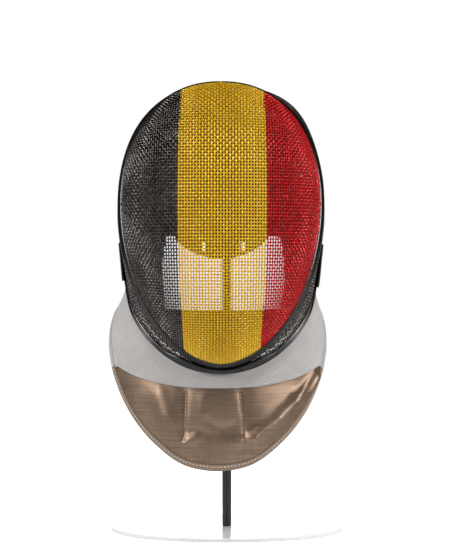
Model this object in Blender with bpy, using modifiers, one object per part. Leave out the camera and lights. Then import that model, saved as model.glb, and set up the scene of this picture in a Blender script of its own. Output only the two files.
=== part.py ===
"""Fencing mask with a three-colour wire face and a cloth bib, on a rod stand with a round base.

Metres, +Z up. The mask faces -Y. The origin is the middle of the base's underside, on the rod's axis.
Stations round the mask are angles seen from the front: 0 at the crown, 90 at +X, 180 at the chin.
"""
import math
from collections import namedtuple

import bmesh
import bpy
from mathutils import Matrix, Vector

GAP = 0.0003
WELD = 0.00001
SMOOTH_ANGLE = 40
QUARTER = math.pi / 2

# Small steps in degrees and in share of a wall, for directions on the surfaces
NUDGE = 0.4
SHARE_NUDGE = 0.01
END_SHARE = 0.03

# The mask's middle plane stands a little beside the rod
MASK_SHIFT = -0.0058

# Wire face: two half superellipses seen from the front, domed forward from its seam
FACE_HALF_WIDTH = 0.0966
WIDEST_HEIGHT = 0.324
CROWN_RISE = 0.1199
CHIN_DROP = 0.154
CROWN_POWER = 2.2
CHIN_POWER = 1.9
SEAM_TOP_DEPTH = -0.030
SEAM_SLOPE = -0.035
SEAM_CHIN_SWEEP = -0.023
DOME_DEPTH = 0.075
DOME_CHIN_CUT = 0.40
MESH_WALL = 0.002

# Coloured stripes of the face
STRIPE_HALF = 0.0425
STRIPE_SHIFT = 0.0014
STRIPE_CROWN_TAPER = 0.0025
STRIPE_CHIN_TAPER = 0.0065
STRIPE_COLUMNS = 6
SIDE_COLUMNS = 5
FACE_ROWS = 20

# Seam band between the face and the side mesh, and the trim round the outer edge
BAND_WIDTH = 0.009
BAND_WALL = 0.0035
BAND_CROWN = 0.0006
BAND_STATIONS = 72
LAY_CROWN = -8.0
LAY_EAR = 17.0
LAY_JAW = 20.0
LAY_REACH = 60
TRIM_WIDTH = 0.009
TRIM_WALL = 0.005
SIDE_END_ANGLE = 158
TRIM_CLOSE_ANGLE = 150
CHIN_JOIN_ANGLE = 166
SIDE_STATIONS = 60
SIDE_ROWS = 5
CROWN_SWELL = 0.011
EAR_SWELL = 0.003
JAW_SWELL = 0.001
RIGHT_SWELL = 0.010
RIGHT_SWELL_ANGLE = 33
RIGHT_SWELL_SPREAD = 22

Edge = namedtuple("Edge", "angle across depth height")
OUTER_EDGE = [
    Edge(0, 0.0, 0.080, 0.398),
    Edge(20, 0.034, 0.076, 0.393),
    Edge(40, 0.062, 0.064, 0.381),
    Edge(60, 0.084, 0.052, 0.357),
    Edge(75, 0.096, 0.046, 0.329),
    Edge(90, 0.0980, 0.034, 0.300),
    Edge(100, 0.0962, 0.022, 0.285),
    Edge(110, 0.0944, 0.008, 0.269),
    Edge(120, 0.0922, -0.009, 0.2447),
    Edge(130, 0.0866, -0.026, 0.2187),
    Edge(140, 0.0735, -0.042, 0.1969),
    Edge(150, 0.0560, -0.054, 0.1795),
    Edge(160, 0.0372, -0.063, 0.1683),
    Edge(170, 0.0180, -0.0695, 0.1628),
    Edge(180, 0.0, -0.0715, 0.1612),
]

# Tabs of folded webbing along the trim at the ears, between a first and a last angle
EAR_TABS = {"ear_tab_left": (-99, -118), "ear_tab_right": (100, 120.5)}
TAB_WIDTH = 0.011
TAB_WALL = 0.002
TAB_OVERHANG = 0.0005
TAB_COLUMNS = 8

# Bib: hung from the trim between the ears, white above and metallic cloth below
BIB_WALL = 0.003
BIB_SWELL = 0.006
BIB_FULL_LENGTH = 0.09
BIB_START_ANGLE = 112
BIB_COLUMNS = 54
WHITE_ROWS = 4
LAME_ROWS = 8
LAME_END_MARGIN = 1.2
BINDING_WIDTH = 0.007
BINDING_WALL = 0.0042
SEAM_HEIGHT = 0.1428
SEAM_RISE = 0.0262
SEAM_POWER = 2.6
SEAM_HALF_SPAN = 0.108
HEM_LEAN = -0.0033

Hem = namedtuple("Hem", "angle across depth height")
HEM = [
    Hem(104, 0.0870, 0.030, 0.270),
    Hem(112, 0.0880, 0.025, 0.254),
    Hem(118, 0.0902, 0.020, 0.233),
    Hem(125, 0.1035, 0.013, 0.2125),
    Hem(133, 0.1080, 0.005, 0.190),
    Hem(141, 0.1055, -0.005, 0.165),
    Hem(149, 0.0970, -0.016, 0.139),
    Hem(157, 0.0830, -0.030, 0.1135),
    Hem(165, 0.0620, -0.043, 0.0895),
    Hem(173, 0.0335, -0.054, 0.0695),
    Hem(180, 0.0, -0.058, 0.0635),
]

# Soft folds of the bib, from one end to the other as seen from the front, raised or sunk
Fold = namedtuple("Fold", "across_a height_a across_b height_b lift width")
FOLDS = [
    Fold(-0.034, 0.143, -0.036, 0.092, -0.0016, 0.006),
    Fold(0.019, 0.143, 0.023, 0.092, -0.0016, 0.006),
    Fold(0.030, 0.098, 0.072, 0.134, 0.0030, 0.009),
    Fold(0.072, 0.134, 0.094, 0.152, 0.0022, 0.007),
    Fold(-0.026, 0.103, 0.014, 0.100, -0.0015, 0.006),
    Fold(-0.060, 0.136, -0.038, 0.092, 0.0016, 0.009),
    Fold(0.030, 0.152, 0.080, 0.186, 0.0014, 0.007),
]

# Padding inside
PAD_EDGE = 0.004
CROWN_PAD_THICKNESS = 0.0145
CROWN_PAD_HALF_ANGLE = 70
CROWN_PAD_COLUMNS = 24
CROWN_PAD_NOTCH = 0.033
CROWN_PAD_NOTCH_ANGLE = -34
CROWN_PAD_NOTCH_SPREAD = 9
CHEEK_PAD_ANGLES = (72, 158)
CHEEK_PAD_COLUMNS = 16
WALL_PAD_ROWS = 5
CHEEK_PAD_SWELL_ANGLE = 95
CHEEK_PAD_SWELL_SPREAD = 22
CHEEK_PAD_THICKNESS = 0.0245
CHEEK_PAD_SWELL = 0.019
CHEEK_PAD_EXTRA = {-1: 0.002, 1: -0.004}
JAW_PAD_THICKNESS = 0.006
JAW_PAD_ANGLES = (129, 144)
PAD_SEAM_CLEARANCE = 0.0035
PAD_UNDER_TRIM = 0.003
CHIN_PAD_TOP = 0.2225
CHIN_PAD_INSET = 0.0008
CHIN_PAD_FRONT = 0.0008
CHIN_PAD_BACK = 0.009
CHIN_PAD_SWELL = 0.003
CHIN_PAD_COLUMNS = 12
CHIN_PAD_ROWS = 4

# Rear tongue, hung from the crown's edge, and the strap round its back
TONGUE_HALF_ANGLE = 58
TONGUE_WALL = 0.009
TONGUE_EDGE_WALL = 0.004
TONGUE_BOTTOM_HALF = 0.046
TONGUE_BOTTOM_HEIGHT = 0.2727
TONGUE_BOTTOM_RISE = 0.030
TONGUE_ROUNDNESS = 0.97
TONGUE_BOTTOM_DEPTH = 0.094
TONGUE_WRAP = 0.012
TONGUE_SWELL = 0.011
TONGUE_COLUMNS = 12
TONGUE_ROWS = 10
SLOT_PLACES = {"slot_left": -0.0185, "slot_right": 0.0225}
SLOT_HEIGHT = 0.2845
SLOT_SIZE = (0.0038, 0.06, 0.0085)
STRAP_ANGLES = (60.5, 106)
STRAP_WALL = 0.003
STRAP_CLEARANCE = 0.0016
STRAP_BACK_DEPTH = 0.1065
STRAP_TOP = 0.3595
STRAP_BOTTOM = 0.2955
STRAP_FLARE_START = 0.052
STRAP_COLUMNS = 28
STRAP_ROWS = 3

# Stand
ROD_RADIUS = 0.0045
ROD_SHOULDER = 0.400
ROD_STEPS = 20
CAP_RADIUS = 0.020
CAP_TOP = 0.4244
CAP_FLAT_RADIUS = 0.011
CAP_FLAT_DROP = 0.0012
CAP_RIM_DROP = 0.005
CAP_RIM_HEIGHT = 0.004
BASE_RADIUS = 0.115
BASE_SIDES = 64
BASE_THICKNESS = 0.004
BASE_EDGE = 0.001

Finish = namedtuple("Finish", "colour roughness metallic")
FINISHES = {
    "black_wire": Finish((0.022, 0.020, 0.020), 0.45, 0.6),
    "yellow_wire": Finish((0.88, 0.57, 0.011), 0.45, 0.1),
    "red_wire": Finish((0.58, 0.007, 0.008), 0.45, 0.1),
    "black_vinyl": Finish((0.012, 0.012, 0.012), 0.3, 0.0),
    "white_cloth": Finish((0.55, 0.54, 0.54), 0.8, 0.0),
    "lame_cloth": Finish((0.26, 0.20, 0.15), 0.5, 0.6),
    "binding_cloth": Finish((0.48, 0.38, 0.30), 0.7, 0.0),
    "black_foam": Finish((0.018, 0.018, 0.018), 0.95, 0.0),
    "black_webbing": Finish((0.015, 0.015, 0.016), 0.85, 0.0),
    "black_steel": Finish((0.02, 0.02, 0.02), 0.4, 0.2),
    "white_steel": Finish((0.80, 0.80, 0.80), 0.5, 0.0),
}


def clear_scene():
    for thing in list(bpy.data.objects):
        bpy.data.objects.remove(thing, do_unlink=True)


def new_collection(name):
    collection = bpy.data.collections.new(name)
    bpy.context.scene.collection.children.link(collection)
    return collection


def new_finish(name):
    finish = FINISHES[name]
    material = bpy.data.materials.new(name)
    material.use_nodes = True
    shader = material.node_tree.nodes["Principled BSDF"]
    shader.inputs["Base Color"].default_value = (*finish.colour, 1)
    shader.inputs["Roughness"].default_value = finish.roughness
    shader.inputs["Metallic"].default_value = finish.metallic
    return material


def ease(share):
    """A smooth step from 0 to 1."""
    share = min(max(share, 0), 1)
    return share * share * (3 - 2 * share)


def from_crown(angle):
    """Angle from the crown, 0 to 180, on whichever side it lies."""
    return abs((angle + 180) % 360 - 180)


def mirrored(rows, middle):
    """The rows of a table on the other side of an angle, in rising order."""
    flip = [type(row)(2 * middle - row.angle, -row.across, *row[2:]) for row in rows]
    return flip[::-1]


def along_table(rows, angle):
    """Point of a table at an angle, on a smooth curve through its rows."""
    last = len(rows) - 2
    index = next((i for i in range(last) if angle < rows[i + 1].angle), last)
    near = [rows[min(max(index + step, 0), len(rows) - 1)] for step in (-1, 0, 1, 2)]
    points = [Vector(row[1:]) for row in near]
    span = near[2].angle - near[1].angle
    start = (points[2] - points[0]) * span / (near[2].angle - near[0].angle)
    end = (points[3] - points[1]) * span / (near[3].angle - near[1].angle)
    t = (angle - near[1].angle) / span
    return (
        points[1] * (2 * t**3 - 3 * t**2 + 1)
        + start * (t**3 - 2 * t**2 + t)
        + points[2] * (3 * t**2 - 2 * t**3)
        + end * (t**3 - t**2)
    )


EDGE_LOOP = mirrored(OUTER_EDGE, 0)[:-1] + OUTER_EDGE + mirrored(OUTER_EDGE, 180)[1:]
HEM_LOOP = HEM + mirrored(HEM, 180)[1:]


def outer_edge(angle):
    return along_table(EDGE_LOOP, angle)


def rim_depth(height):
    """Depth of the seam between the face and the side mesh at a height."""
    top = WIDEST_HEIGHT + CROWN_RISE
    fall = (top - height) / (CROWN_RISE + CHIN_DROP)
    return SEAM_TOP_DEPTH + SEAM_SLOPE * fall + SEAM_CHIN_SWEEP * fall**3


def rim(angle):
    """Point where the face's dome ends."""
    turn = math.radians(angle)
    sine, cosine = math.sin(turn), math.cos(turn)
    rise, power = (CROWN_RISE, CROWN_POWER) if cosine > 0 else (CHIN_DROP, CHIN_POWER)
    across = math.copysign(abs(sine) ** (2 / power), sine) * FACE_HALF_WIDTH
    height = WIDEST_HEIGHT + math.copysign(abs(cosine) ** (2 / power), cosine) * rise
    return Vector((across, rim_depth(height), height))


def rim_height(across, side):
    """Height of the rim above a place across the face, side 1 at the crown and -1 at the chin."""
    rise, power = (CROWN_RISE, CROWN_POWER) if side > 0 else (CHIN_DROP, CHIN_POWER)
    share = min(abs(across) / FACE_HALF_WIDTH, 1)
    return WIDEST_HEIGHT + side * rise * (1 - share**power) ** (1 / power)


def face_point(across, height):
    """Point of the domed face at a place seen from the front."""
    up = height - WIDEST_HEIGHT
    rise, power = (CROWN_RISE, CROWN_POWER) if up > 0 else (CHIN_DROP, CHIN_POWER)
    reach = (abs(across) / FACE_HALF_WIDTH) ** power + (abs(up) / rise) ** power
    out = min(reach ** (2 / power), 1)
    # Toward the chin the dome is cut off before its steepest part
    cut = 1 - DOME_CHIN_CUT * min(max(-up, 0) / CHIN_DROP, 1) ** 2
    foot = math.sqrt(1 - cut)
    fullness = (math.sqrt(max(1 - cut * out, 0)) - foot) / (1 - foot)
    return Vector((across, rim_depth(height) - DOME_DEPTH * fullness, height))


def stripe_edge(share, side):
    """Edge of the middle stripe on one side, share -1 at the chin and 1 at the crown: out and height."""
    taper = STRIPE_CROWN_TAPER if share > 0 else STRIPE_CHIN_TAPER
    shift = side * STRIPE_SHIFT
    end = rim_height(STRIPE_HALF - taper + shift, 1 if share > 0 else -1)
    swing = math.sin(abs(share) * QUARTER)
    height = WIDEST_HEIGHT + (end - WIDEST_HEIGHT) * swing
    return STRIPE_HALF - taper * swing**2 + shift, height


def stripe_end_angle(share, side):
    """Angle from the crown at which the middle stripe's edge on one side meets the rim."""
    power = CROWN_POWER if share > 0 else CHIN_POWER
    taper = STRIPE_CROWN_TAPER if share > 0 else STRIPE_CHIN_TAPER
    reach = (STRIPE_HALF - taper + side * STRIPE_SHIFT) / FACE_HALF_WIDTH
    turn = math.degrees(math.asin(reach ** (power / 2)))
    return turn if share > 0 else 180 - turn


def seam_frame(angle):
    """Rim point, direction along the seam, direction across its band, and the band's outer side."""
    here = rim(angle)
    along = (rim(angle + NUDGE) - rim(angle - NUDGE)).normalized()
    outward = Vector((-along.z, 0, along.x)).normalized()
    turned = from_crown(angle)
    lay = LAY_CROWN + (LAY_EAR - LAY_CROWN) * ease(turned / LAY_REACH)
    lay = math.radians(lay + (LAY_JAW - LAY_EAR) * ease((turned - 80) / 60))
    across = Vector((0, math.cos(lay), 0)) + outward * math.sin(lay)
    across = (across - along * across.dot(along)).normalized()
    clear = 1.5 * GAP + MESH_WALL / 2 * abs(math.sin(lay))
    return here + across * clear, along, across, along.cross(across)


def seam_end(angle):
    start, _, across, _ = seam_frame(angle)
    return start + across * BAND_WIDTH


def side_wall(angle, share):
    """Point of the side mesh's surface, share 0 at the seam band and 1 at the outer edge."""
    start, end = seam_end(angle), outer_edge(angle)
    before = seam_end(angle - NUDGE) + outer_edge(angle - NUDGE)
    after = seam_end(angle + NUDGE) + outer_edge(angle + NUDGE)
    outward = (after - before).cross(end - start).normalized()
    turned = from_crown(angle)
    swell = EAR_SWELL + CROWN_SWELL * max(math.cos(math.radians(turned)), 0) ** 1.5
    swell += (JAW_SWELL - EAR_SWELL) * ease((turned - 95) / 40)
    swell += RIGHT_SWELL * math.exp(-((angle - RIGHT_SWELL_ANGLE) / RIGHT_SWELL_SPREAD) ** 2)
    return start.lerp(end, share) + outward * swell * 4 * share * (1 - share)


def side_length(angle):
    return (outer_edge(angle) - seam_end(angle)).length


def side_normal(angle, share):
    along = side_wall(angle + NUDGE, share) - side_wall(angle - NUDGE, share)
    across = side_wall(angle, share + SHARE_NUDGE) - side_wall(angle, share - SHARE_NUDGE)
    return along.cross(across).normalized()


def seam_clearance(angle, wall):
    """How far past the seam band a wall of this thickness starts, so that its corner stays clear."""
    _, _, across, _ = seam_frame(angle)
    run = (side_wall(angle, END_SHARE) - side_wall(angle, 0)).normalized()
    bend = across.angle(run)
    return (1.5 * GAP + wall / 2 * math.sin(bend)) / math.cos(bend)


def trim_share(angle):
    """Share of the side wall at which the trim begins; at the chin it meets the seam band."""
    length = side_length(angle)
    open_share = 1 - TRIM_WIDTH / length
    closed_share = seam_clearance(angle, TRIM_WALL) / length
    joined = ease((from_crown(angle) - TRIM_CLOSE_ANGLE) / (CHIN_JOIN_ANGLE - TRIM_CLOSE_ANGLE))
    return open_share + (closed_share - open_share) * joined


def edge_direction(angle):
    """Direction in which the side wall runs out at the outer edge."""
    return (side_wall(angle, 1) - side_wall(angle, 1 - END_SHARE)).normalized()


def grid_mesh(name, rows, closed=False, bands=None):
    """A surface through rows of points; bands gives each column of faces its material."""
    mesh = bpy.data.meshes.new(name)
    shape = bmesh.new()
    points = [[shape.verts.new(point) for point in row] for row in rows]
    pairs = list(zip(points, points[1:]))
    if closed:
        pairs.append((points[-1], points[0]))
    for row, other in pairs:
        for index in range(len(row) - 1):
            face = shape.faces.new((row[index], row[index + 1], other[index + 1], other[index]))
            face.material_index = bands[index] if bands else 0
    bmesh.ops.remove_doubles(shape, verts=shape.verts, dist=WELD)
    bmesh.ops.recalc_face_normals(shape, faces=shape.faces)
    shape.to_mesh(mesh)
    shape.free()
    return mesh


def skin_mesh(name, outer, inner):
    """A closed solid between two grids of the same rows and columns."""
    mesh = bpy.data.meshes.new(name)
    shape = bmesh.new()
    skins = [[[shape.verts.new(point) for point in row] for row in grid] for grid in (outer, inner)]
    for grid in skins:
        for row, other in zip(grid, grid[1:]):
            for index in range(len(row) - 1):
                shape.faces.new((row[index], row[index + 1], other[index + 1], other[index]))
    borders = []
    for grid in skins:
        right = [row[-1] for row in grid]
        left = [row[0] for row in grid]
        borders.append(grid[0][:-1] + right[:-1] + grid[-1][:0:-1] + left[:0:-1])
    count = len(borders[0])
    for index in range(count):
        after = (index + 1) % count
        shape.faces.new((borders[0][index], borders[0][after], borders[1][after], borders[1][index]))
    bmesh.ops.remove_doubles(shape, verts=shape.verts, dist=WELD)
    bmesh.ops.recalc_face_normals(shape, faces=shape.faces)
    shape.to_mesh(mesh)
    shape.free()
    return mesh


def smooth(mesh):
    mesh.shade_smooth()
    mesh.set_sharp_from_angle(angle=math.radians(SMOOTH_ANGLE))


def place(name, mesh, finishes, collection, shifted=True):
    """A named piece with its finishes, moved to the mask's middle plane unless it is the stand's."""
    smooth(mesh)
    piece = bpy.data.objects.new(name, mesh)
    for finish in finishes:
        mesh.materials.append(bpy.data.materials.get(finish) or new_finish(finish))
    piece.location.x = MASK_SHIFT if shifted else 0
    collection.objects.link(piece)
    return piece


def thicken(piece, wall):
    """Gives an open surface its wall, half on each side."""
    solid = piece.modifiers.new("wall", "SOLIDIFY")
    solid.thickness = wall
    solid.offset = 0
    solid.use_even_offset = True


def face_rows():
    """Rows of the face from chin to crown: black side, middle stripe, red side."""
    rows = []
    for step in range(FACE_ROWS + 1):
        share = -1 + 2 * step / FACE_ROWS
        flanks = []
        for side in (-1, 1):
            edge = Vector(stripe_edge(share, side))
            limit = rim(90 + (stripe_end_angle(share, side) - 90) * abs(share))
            if step in (0, FACE_ROWS):
                flank = [edge] * (SIDE_COLUMNS + 1)
            else:
                reach = [math.sin(column / SIDE_COLUMNS * QUARTER) for column in range(SIDE_COLUMNS + 1)]
                flank = [edge.lerp(limit.xz, part) for part in reach]
            flanks.append([face_point(side * point.x, point.y) for point in flank])
        left, right = flanks
        middle = []
        for column in range(1, STRIPE_COLUMNS):
            across = left[0].x + (right[0].x - left[0].x) * column / STRIPE_COLUMNS
            end = rim_height(across, 1 if share > 0 else -1)
            swing = math.sin(abs(share) * QUARTER)
            middle.append(face_point(across, WIDEST_HEIGHT + (end - WIDEST_HEIGHT) * swing))
        rows.append(left[::-1] + middle + right)
    return rows


def build_face(collection):
    bands = [0] * SIDE_COLUMNS + [1] * STRIPE_COLUMNS + [2] * SIDE_COLUMNS
    mesh = grid_mesh("face_mesh", face_rows(), bands=bands)
    piece = place("face_mesh", mesh, ["black_wire", "yellow_wire", "red_wire"], collection)
    thicken(piece, MESH_WALL)


def build_seam_band(collection):
    rows = []
    for station in range(BAND_STATIONS):
        start, _, across, outward = seam_frame(360 * station / BAND_STATIONS - 180)
        crest = start + across * BAND_WIDTH / 2 + outward * BAND_CROWN
        rows.append([start, crest, start + across * BAND_WIDTH])
    piece = place("seam_band", grid_mesh("seam_band", rows, closed=True), ["black_vinyl"], collection)
    thicken(piece, BAND_WALL)


def build_side_mesh(collection):
    rows = []
    for station in range(SIDE_STATIONS + 1):
        angle = SIDE_END_ANGLE * (2 * station / SIDE_STATIONS - 1)
        length = side_length(angle)
        first = seam_clearance(angle, MESH_WALL) / length
        last = trim_share(angle) - 3 * GAP / length
        shares = [first + (last - first) * row / SIDE_ROWS for row in range(SIDE_ROWS + 1)]
        rows.append([side_wall(angle, share) for share in shares])
    piece = place("side_mesh", grid_mesh("side_mesh", rows), ["black_wire"], collection)
    thicken(piece, MESH_WALL)


def build_edge_trim(collection):
    rows = []
    for station in range(BAND_STATIONS):
        angle = 360 * station / BAND_STATIONS - 180
        first = trim_share(angle)
        middle = (first + 1) / 2
        crest = side_wall(angle, middle) + side_normal(angle, middle) * BAND_CROWN
        rows.append([side_wall(angle, first), crest, side_wall(angle, 1)])
    piece = place("edge_trim", grid_mesh("edge_trim", rows, closed=True), ["black_vinyl"], collection)
    thicken(piece, TRIM_WALL)


def build_ear_tabs(collection):
    """A strip of webbing along the trim at each ear, clear of the trim's crest."""
    lift = TRIM_WALL / 2 + BAND_CROWN + 1.5 * GAP + TAB_WALL / 2
    for name, (near, far) in EAR_TABS.items():
        rows = []
        for column in range(TAB_COLUMNS + 1):
            angle = near + (far - near) * column / TAB_COLUMNS
            length = side_length(angle)
            row = []
            for place_across in (TAB_WIDTH - TAB_OVERHANG, TAB_WIDTH / 2, -TAB_OVERHANG):
                share = 1 - place_across / length
                row.append(side_wall(angle, share) + side_normal(angle, share) * lift)
            rows.append(row)
        piece = place(name, grid_mesh(name, rows), ["black_webbing"], collection)
        thicken(piece, TAB_WALL)


def bib_top(angle):
    """The bib's upper end, just past the trim's edge."""
    return outer_edge(angle) + edge_direction(angle) * (BIB_WALL / 2 + 2 * GAP)


def hem(angle):
    return along_table(HEM_LOOP, angle) + Vector((HEM_LEAN, 0, 0))


def fold_lift(across, height):
    """How far the soft folds raise the bib at a place seen from the front."""
    lift = 0
    here = Vector((across, height))
    for fold in FOLDS:
        start = Vector((fold.across_a, fold.height_a))
        run = Vector((fold.across_b, fold.height_b)) - start
        share = min(max((here - start).dot(run) / run.length_squared, 0), 1)
        away = (here - start - run * share).length / fold.width
        lift += fold.lift * math.exp(-away * away)
    return lift


def bib_point(angle, share):
    """Point of the bib's surface, share 0 at the trim and 1 at the hem."""
    start, end = bib_top(angle), hem(angle)
    before = bib_top(angle - NUDGE) + hem(angle - NUDGE)
    after = bib_top(angle + NUDGE) + hem(angle + NUDGE)
    outward = (after - before).cross(end - start).normalized()
    flat = start.lerp(end, share)
    arch = 4 * share * (1 - share)
    swell = BIB_SWELL * ease((end - start).length / BIB_FULL_LENGTH)
    return flat + outward * (swell * arch + fold_lift(flat.x, flat.z) * ease(arch * 2))


def bib_length(angle):
    return (hem(angle) - bib_top(angle)).length


def above_seam(angle, share):
    """How far a place on the bib lies above the seam between its two cloths."""
    here = bib_top(angle).lerp(hem(angle), share)
    return here.z - SEAM_HEIGHT - SEAM_RISE * abs((here.x - HEM_LEAN) / SEAM_HALF_SPAN) ** SEAM_POWER


def seam_share(angle, last):
    """Share of the bib at which the white cloth ends, not past the last one."""
    if above_seam(angle, last) > 0:
        return last
    low, high = 0, last
    for _ in range(24):
        middle = (low + high) / 2
        if above_seam(angle, middle) > 0:
            low = middle
        else:
            high = middle
    return low


def cloth_end(angle):
    return 1 - (BINDING_WIDTH + 2 * GAP) / bib_length(angle)


def bib_angles(first, last, columns):
    return [first + (last - first) * column / columns for column in range(columns + 1)]


def lame_limits():
    """First and last angle at which the metallic cloth shows."""
    steps = bib_angles(BIB_START_ANGLE, 360 - BIB_START_ANGLE, 1000)
    inside = [angle for angle in steps if above_seam(angle, cloth_end(angle)) < 0]
    return inside[0], inside[-1]


def build_bib(collection):
    """The two cloths, which meet along the seam."""
    white = []
    for angle in bib_angles(BIB_START_ANGLE, 360 - BIB_START_ANGLE, BIB_COLUMNS):
        last = cloth_end(angle)
        end = seam_share(angle, last)
        if end < last:
            end -= GAP / bib_length(angle)
        white.append([bib_point(angle, end * row / WHITE_ROWS) for row in range(WHITE_ROWS + 1)])
    piece = place("bib_upper", grid_mesh("bib_upper", white), ["white_cloth"], collection)
    thicken(piece, BIB_WALL)

    lame = []
    first, final = lame_limits()
    columns = round(BIB_COLUMNS * (final - first) / (360 - 2 * BIB_START_ANGLE))
    for angle in bib_angles(first + LAME_END_MARGIN, final - LAME_END_MARGIN, columns):
        last = cloth_end(angle)
        start = seam_share(angle, last) + GAP / bib_length(angle)
        row = [bib_point(angle, start + (last - start) * step / LAME_ROWS) for step in range(LAME_ROWS + 1)]
        lame.append(row)
    piece = place("bib_lame", grid_mesh("bib_lame", lame), ["lame_cloth"], collection)
    thicken(piece, BIB_WALL)


def build_binding(collection):
    rows = []
    for angle in bib_angles(BIB_START_ANGLE, 360 - BIB_START_ANGLE, BIB_COLUMNS):
        first = 1 - BINDING_WIDTH / bib_length(angle)
        rows.append([bib_point(angle, first), bib_point(angle, 1)])
    piece = place("bib_binding", grid_mesh("bib_binding", rows), ["binding_cloth"], collection)
    thicken(piece, BINDING_WALL)


def pillow(a, b):
    """Fullness of a pad over its own square, 0 at its edges and 1 in its middle."""
    return (1 - (2 * a - 1) ** 4) * (1 - (2 * b - 1) ** 4)


def wall_pad(name, angles, columns, thickness, collection, notch=lambda angle: 0):
    """A pad inside the side wall, its rear edge under the trim; thickness and notch follow the angle."""
    outer, inner = [], []
    for column in range(columns + 1):
        part = column / columns
        angle = angles[0] + (angles[1] - angles[0]) * part
        near, far = [], []
        first = PAD_SEAM_CLEARANCE / side_length(angle)
        last = trim_share(angle) + (PAD_UNDER_TRIM - notch(angle)) / side_length(angle)
        for row in range(WALL_PAD_ROWS + 1):
            share = first + (last - first) * row / WALL_PAD_ROWS
            inward = -side_normal(angle, share)
            start = side_wall(angle, share) + inward * (TRIM_WALL / 2 + 3 * GAP)
            full = pillow(part, row / WALL_PAD_ROWS)
            depth = PAD_EDGE + (thickness(angle) - PAD_EDGE) * full
            near.append(start)
            far.append(start + inward * depth)
        outer.append(near)
        inner.append(far)
    place(name, skin_mesh(name, outer, inner), ["black_foam"], collection)


def crown_notch(angle):
    """How far the crown pad's rear edge stays short of the trim, where it has slipped on one side."""
    away = (angle - CROWN_PAD_NOTCH_ANGLE) / CROWN_PAD_NOTCH_SPREAD
    return CROWN_PAD_NOTCH * math.exp(-away * away)


def cheek_thickness(angle):
    away = (from_crown(angle) - CHEEK_PAD_SWELL_ANGLE) / CHEEK_PAD_SWELL_SPREAD
    extra = CHEEK_PAD_EXTRA[1 if angle > 0 else -1]
    thick = CHEEK_PAD_THICKNESS + extra + CHEEK_PAD_SWELL * math.exp(-away * away)
    first, last = JAW_PAD_ANGLES
    return thick + (JAW_PAD_THICKNESS - thick) * ease((from_crown(angle) - first) / (last - first))


def build_pads(collection):
    crown = (-CROWN_PAD_HALF_ANGLE, CROWN_PAD_HALF_ANGLE)
    columns = CROWN_PAD_COLUMNS
    wall_pad("crown_pad", crown, columns, lambda angle: CROWN_PAD_THICKNESS, collection, crown_notch)
    near, far = CHEEK_PAD_ANGLES
    wall_pad("cheek_pad_left", (-near, -far), CHEEK_PAD_COLUMNS, cheek_thickness, collection)
    wall_pad("cheek_pad_right", (near, far), CHEEK_PAD_COLUMNS, cheek_thickness, collection)


def inset_rim(across):
    """Height of the chin pad's lower edge, just inside the face's rim."""
    grown = abs(across) * FACE_HALF_WIDTH / (FACE_HALF_WIDTH - CHIN_PAD_INSET - MESH_WALL / 2)
    return rim_height(grown, -1) + CHIN_PAD_INSET + MESH_WALL / 2


def build_chin_pad(collection):
    """A pad that fills the rim below a level line and swells to the front and the back."""
    half = FACE_HALF_WIDTH
    while inset_rim(half) > CHIN_PAD_TOP - PAD_EDGE:
        half -= 0.0005
    front, back = [], []
    for column in range(CHIN_PAD_COLUMNS + 1):
        part = column / CHIN_PAD_COLUMNS
        across = half * math.sin((2 * part - 1) * QUARTER)
        low = inset_rim(across)
        ahead, behind = [], []
        for row in range(CHIN_PAD_ROWS + 1):
            share = row / CHIN_PAD_ROWS
            height = low + (CHIN_PAD_TOP - low) * share
            full = CHIN_PAD_SWELL * pillow(part, share)
            depth = rim_depth(height)
            ahead.append(Vector((across, depth + CHIN_PAD_FRONT - full, height)))
            behind.append(Vector((across, depth + CHIN_PAD_BACK + full, height)))
        front.append(ahead)
        back.append(behind)
    place("chin_pad", skin_mesh("chin_pad", front, back), ["black_foam"], collection)


def tongue_bottom(part):
    """The tongue's lower edge, a U; part runs from -1 to 1 across it."""
    rise = 1 - math.sqrt(1 - TONGUE_ROUNDNESS * part * part)
    return Vector((
        TONGUE_BOTTOM_HALF * part,
        TONGUE_BOTTOM_DEPTH - TONGUE_WRAP * part * part,
        TONGUE_BOTTOM_HEIGHT + TONGUE_BOTTOM_RISE * rise,
    ))


def tongue_point(part, share):
    """Point of the tongue's middle surface, part -1 to 1 across it and share 0 to 1 down it."""
    angle = TONGUE_HALF_ANGLE * part
    direction = edge_direction(angle)
    end = tongue_bottom(part)
    bend = direction.angle(end - outer_edge(angle) + Vector((0, 4 * TONGUE_SWELL, 0)))
    start = outer_edge(angle) + direction * (2 * GAP + TONGUE_EDGE_WALL / 2 * math.sin(bend))
    swell = TONGUE_SWELL * 4 * share * (1 - share)
    return start.lerp(end, share) + Vector((0, swell, 0))


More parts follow.
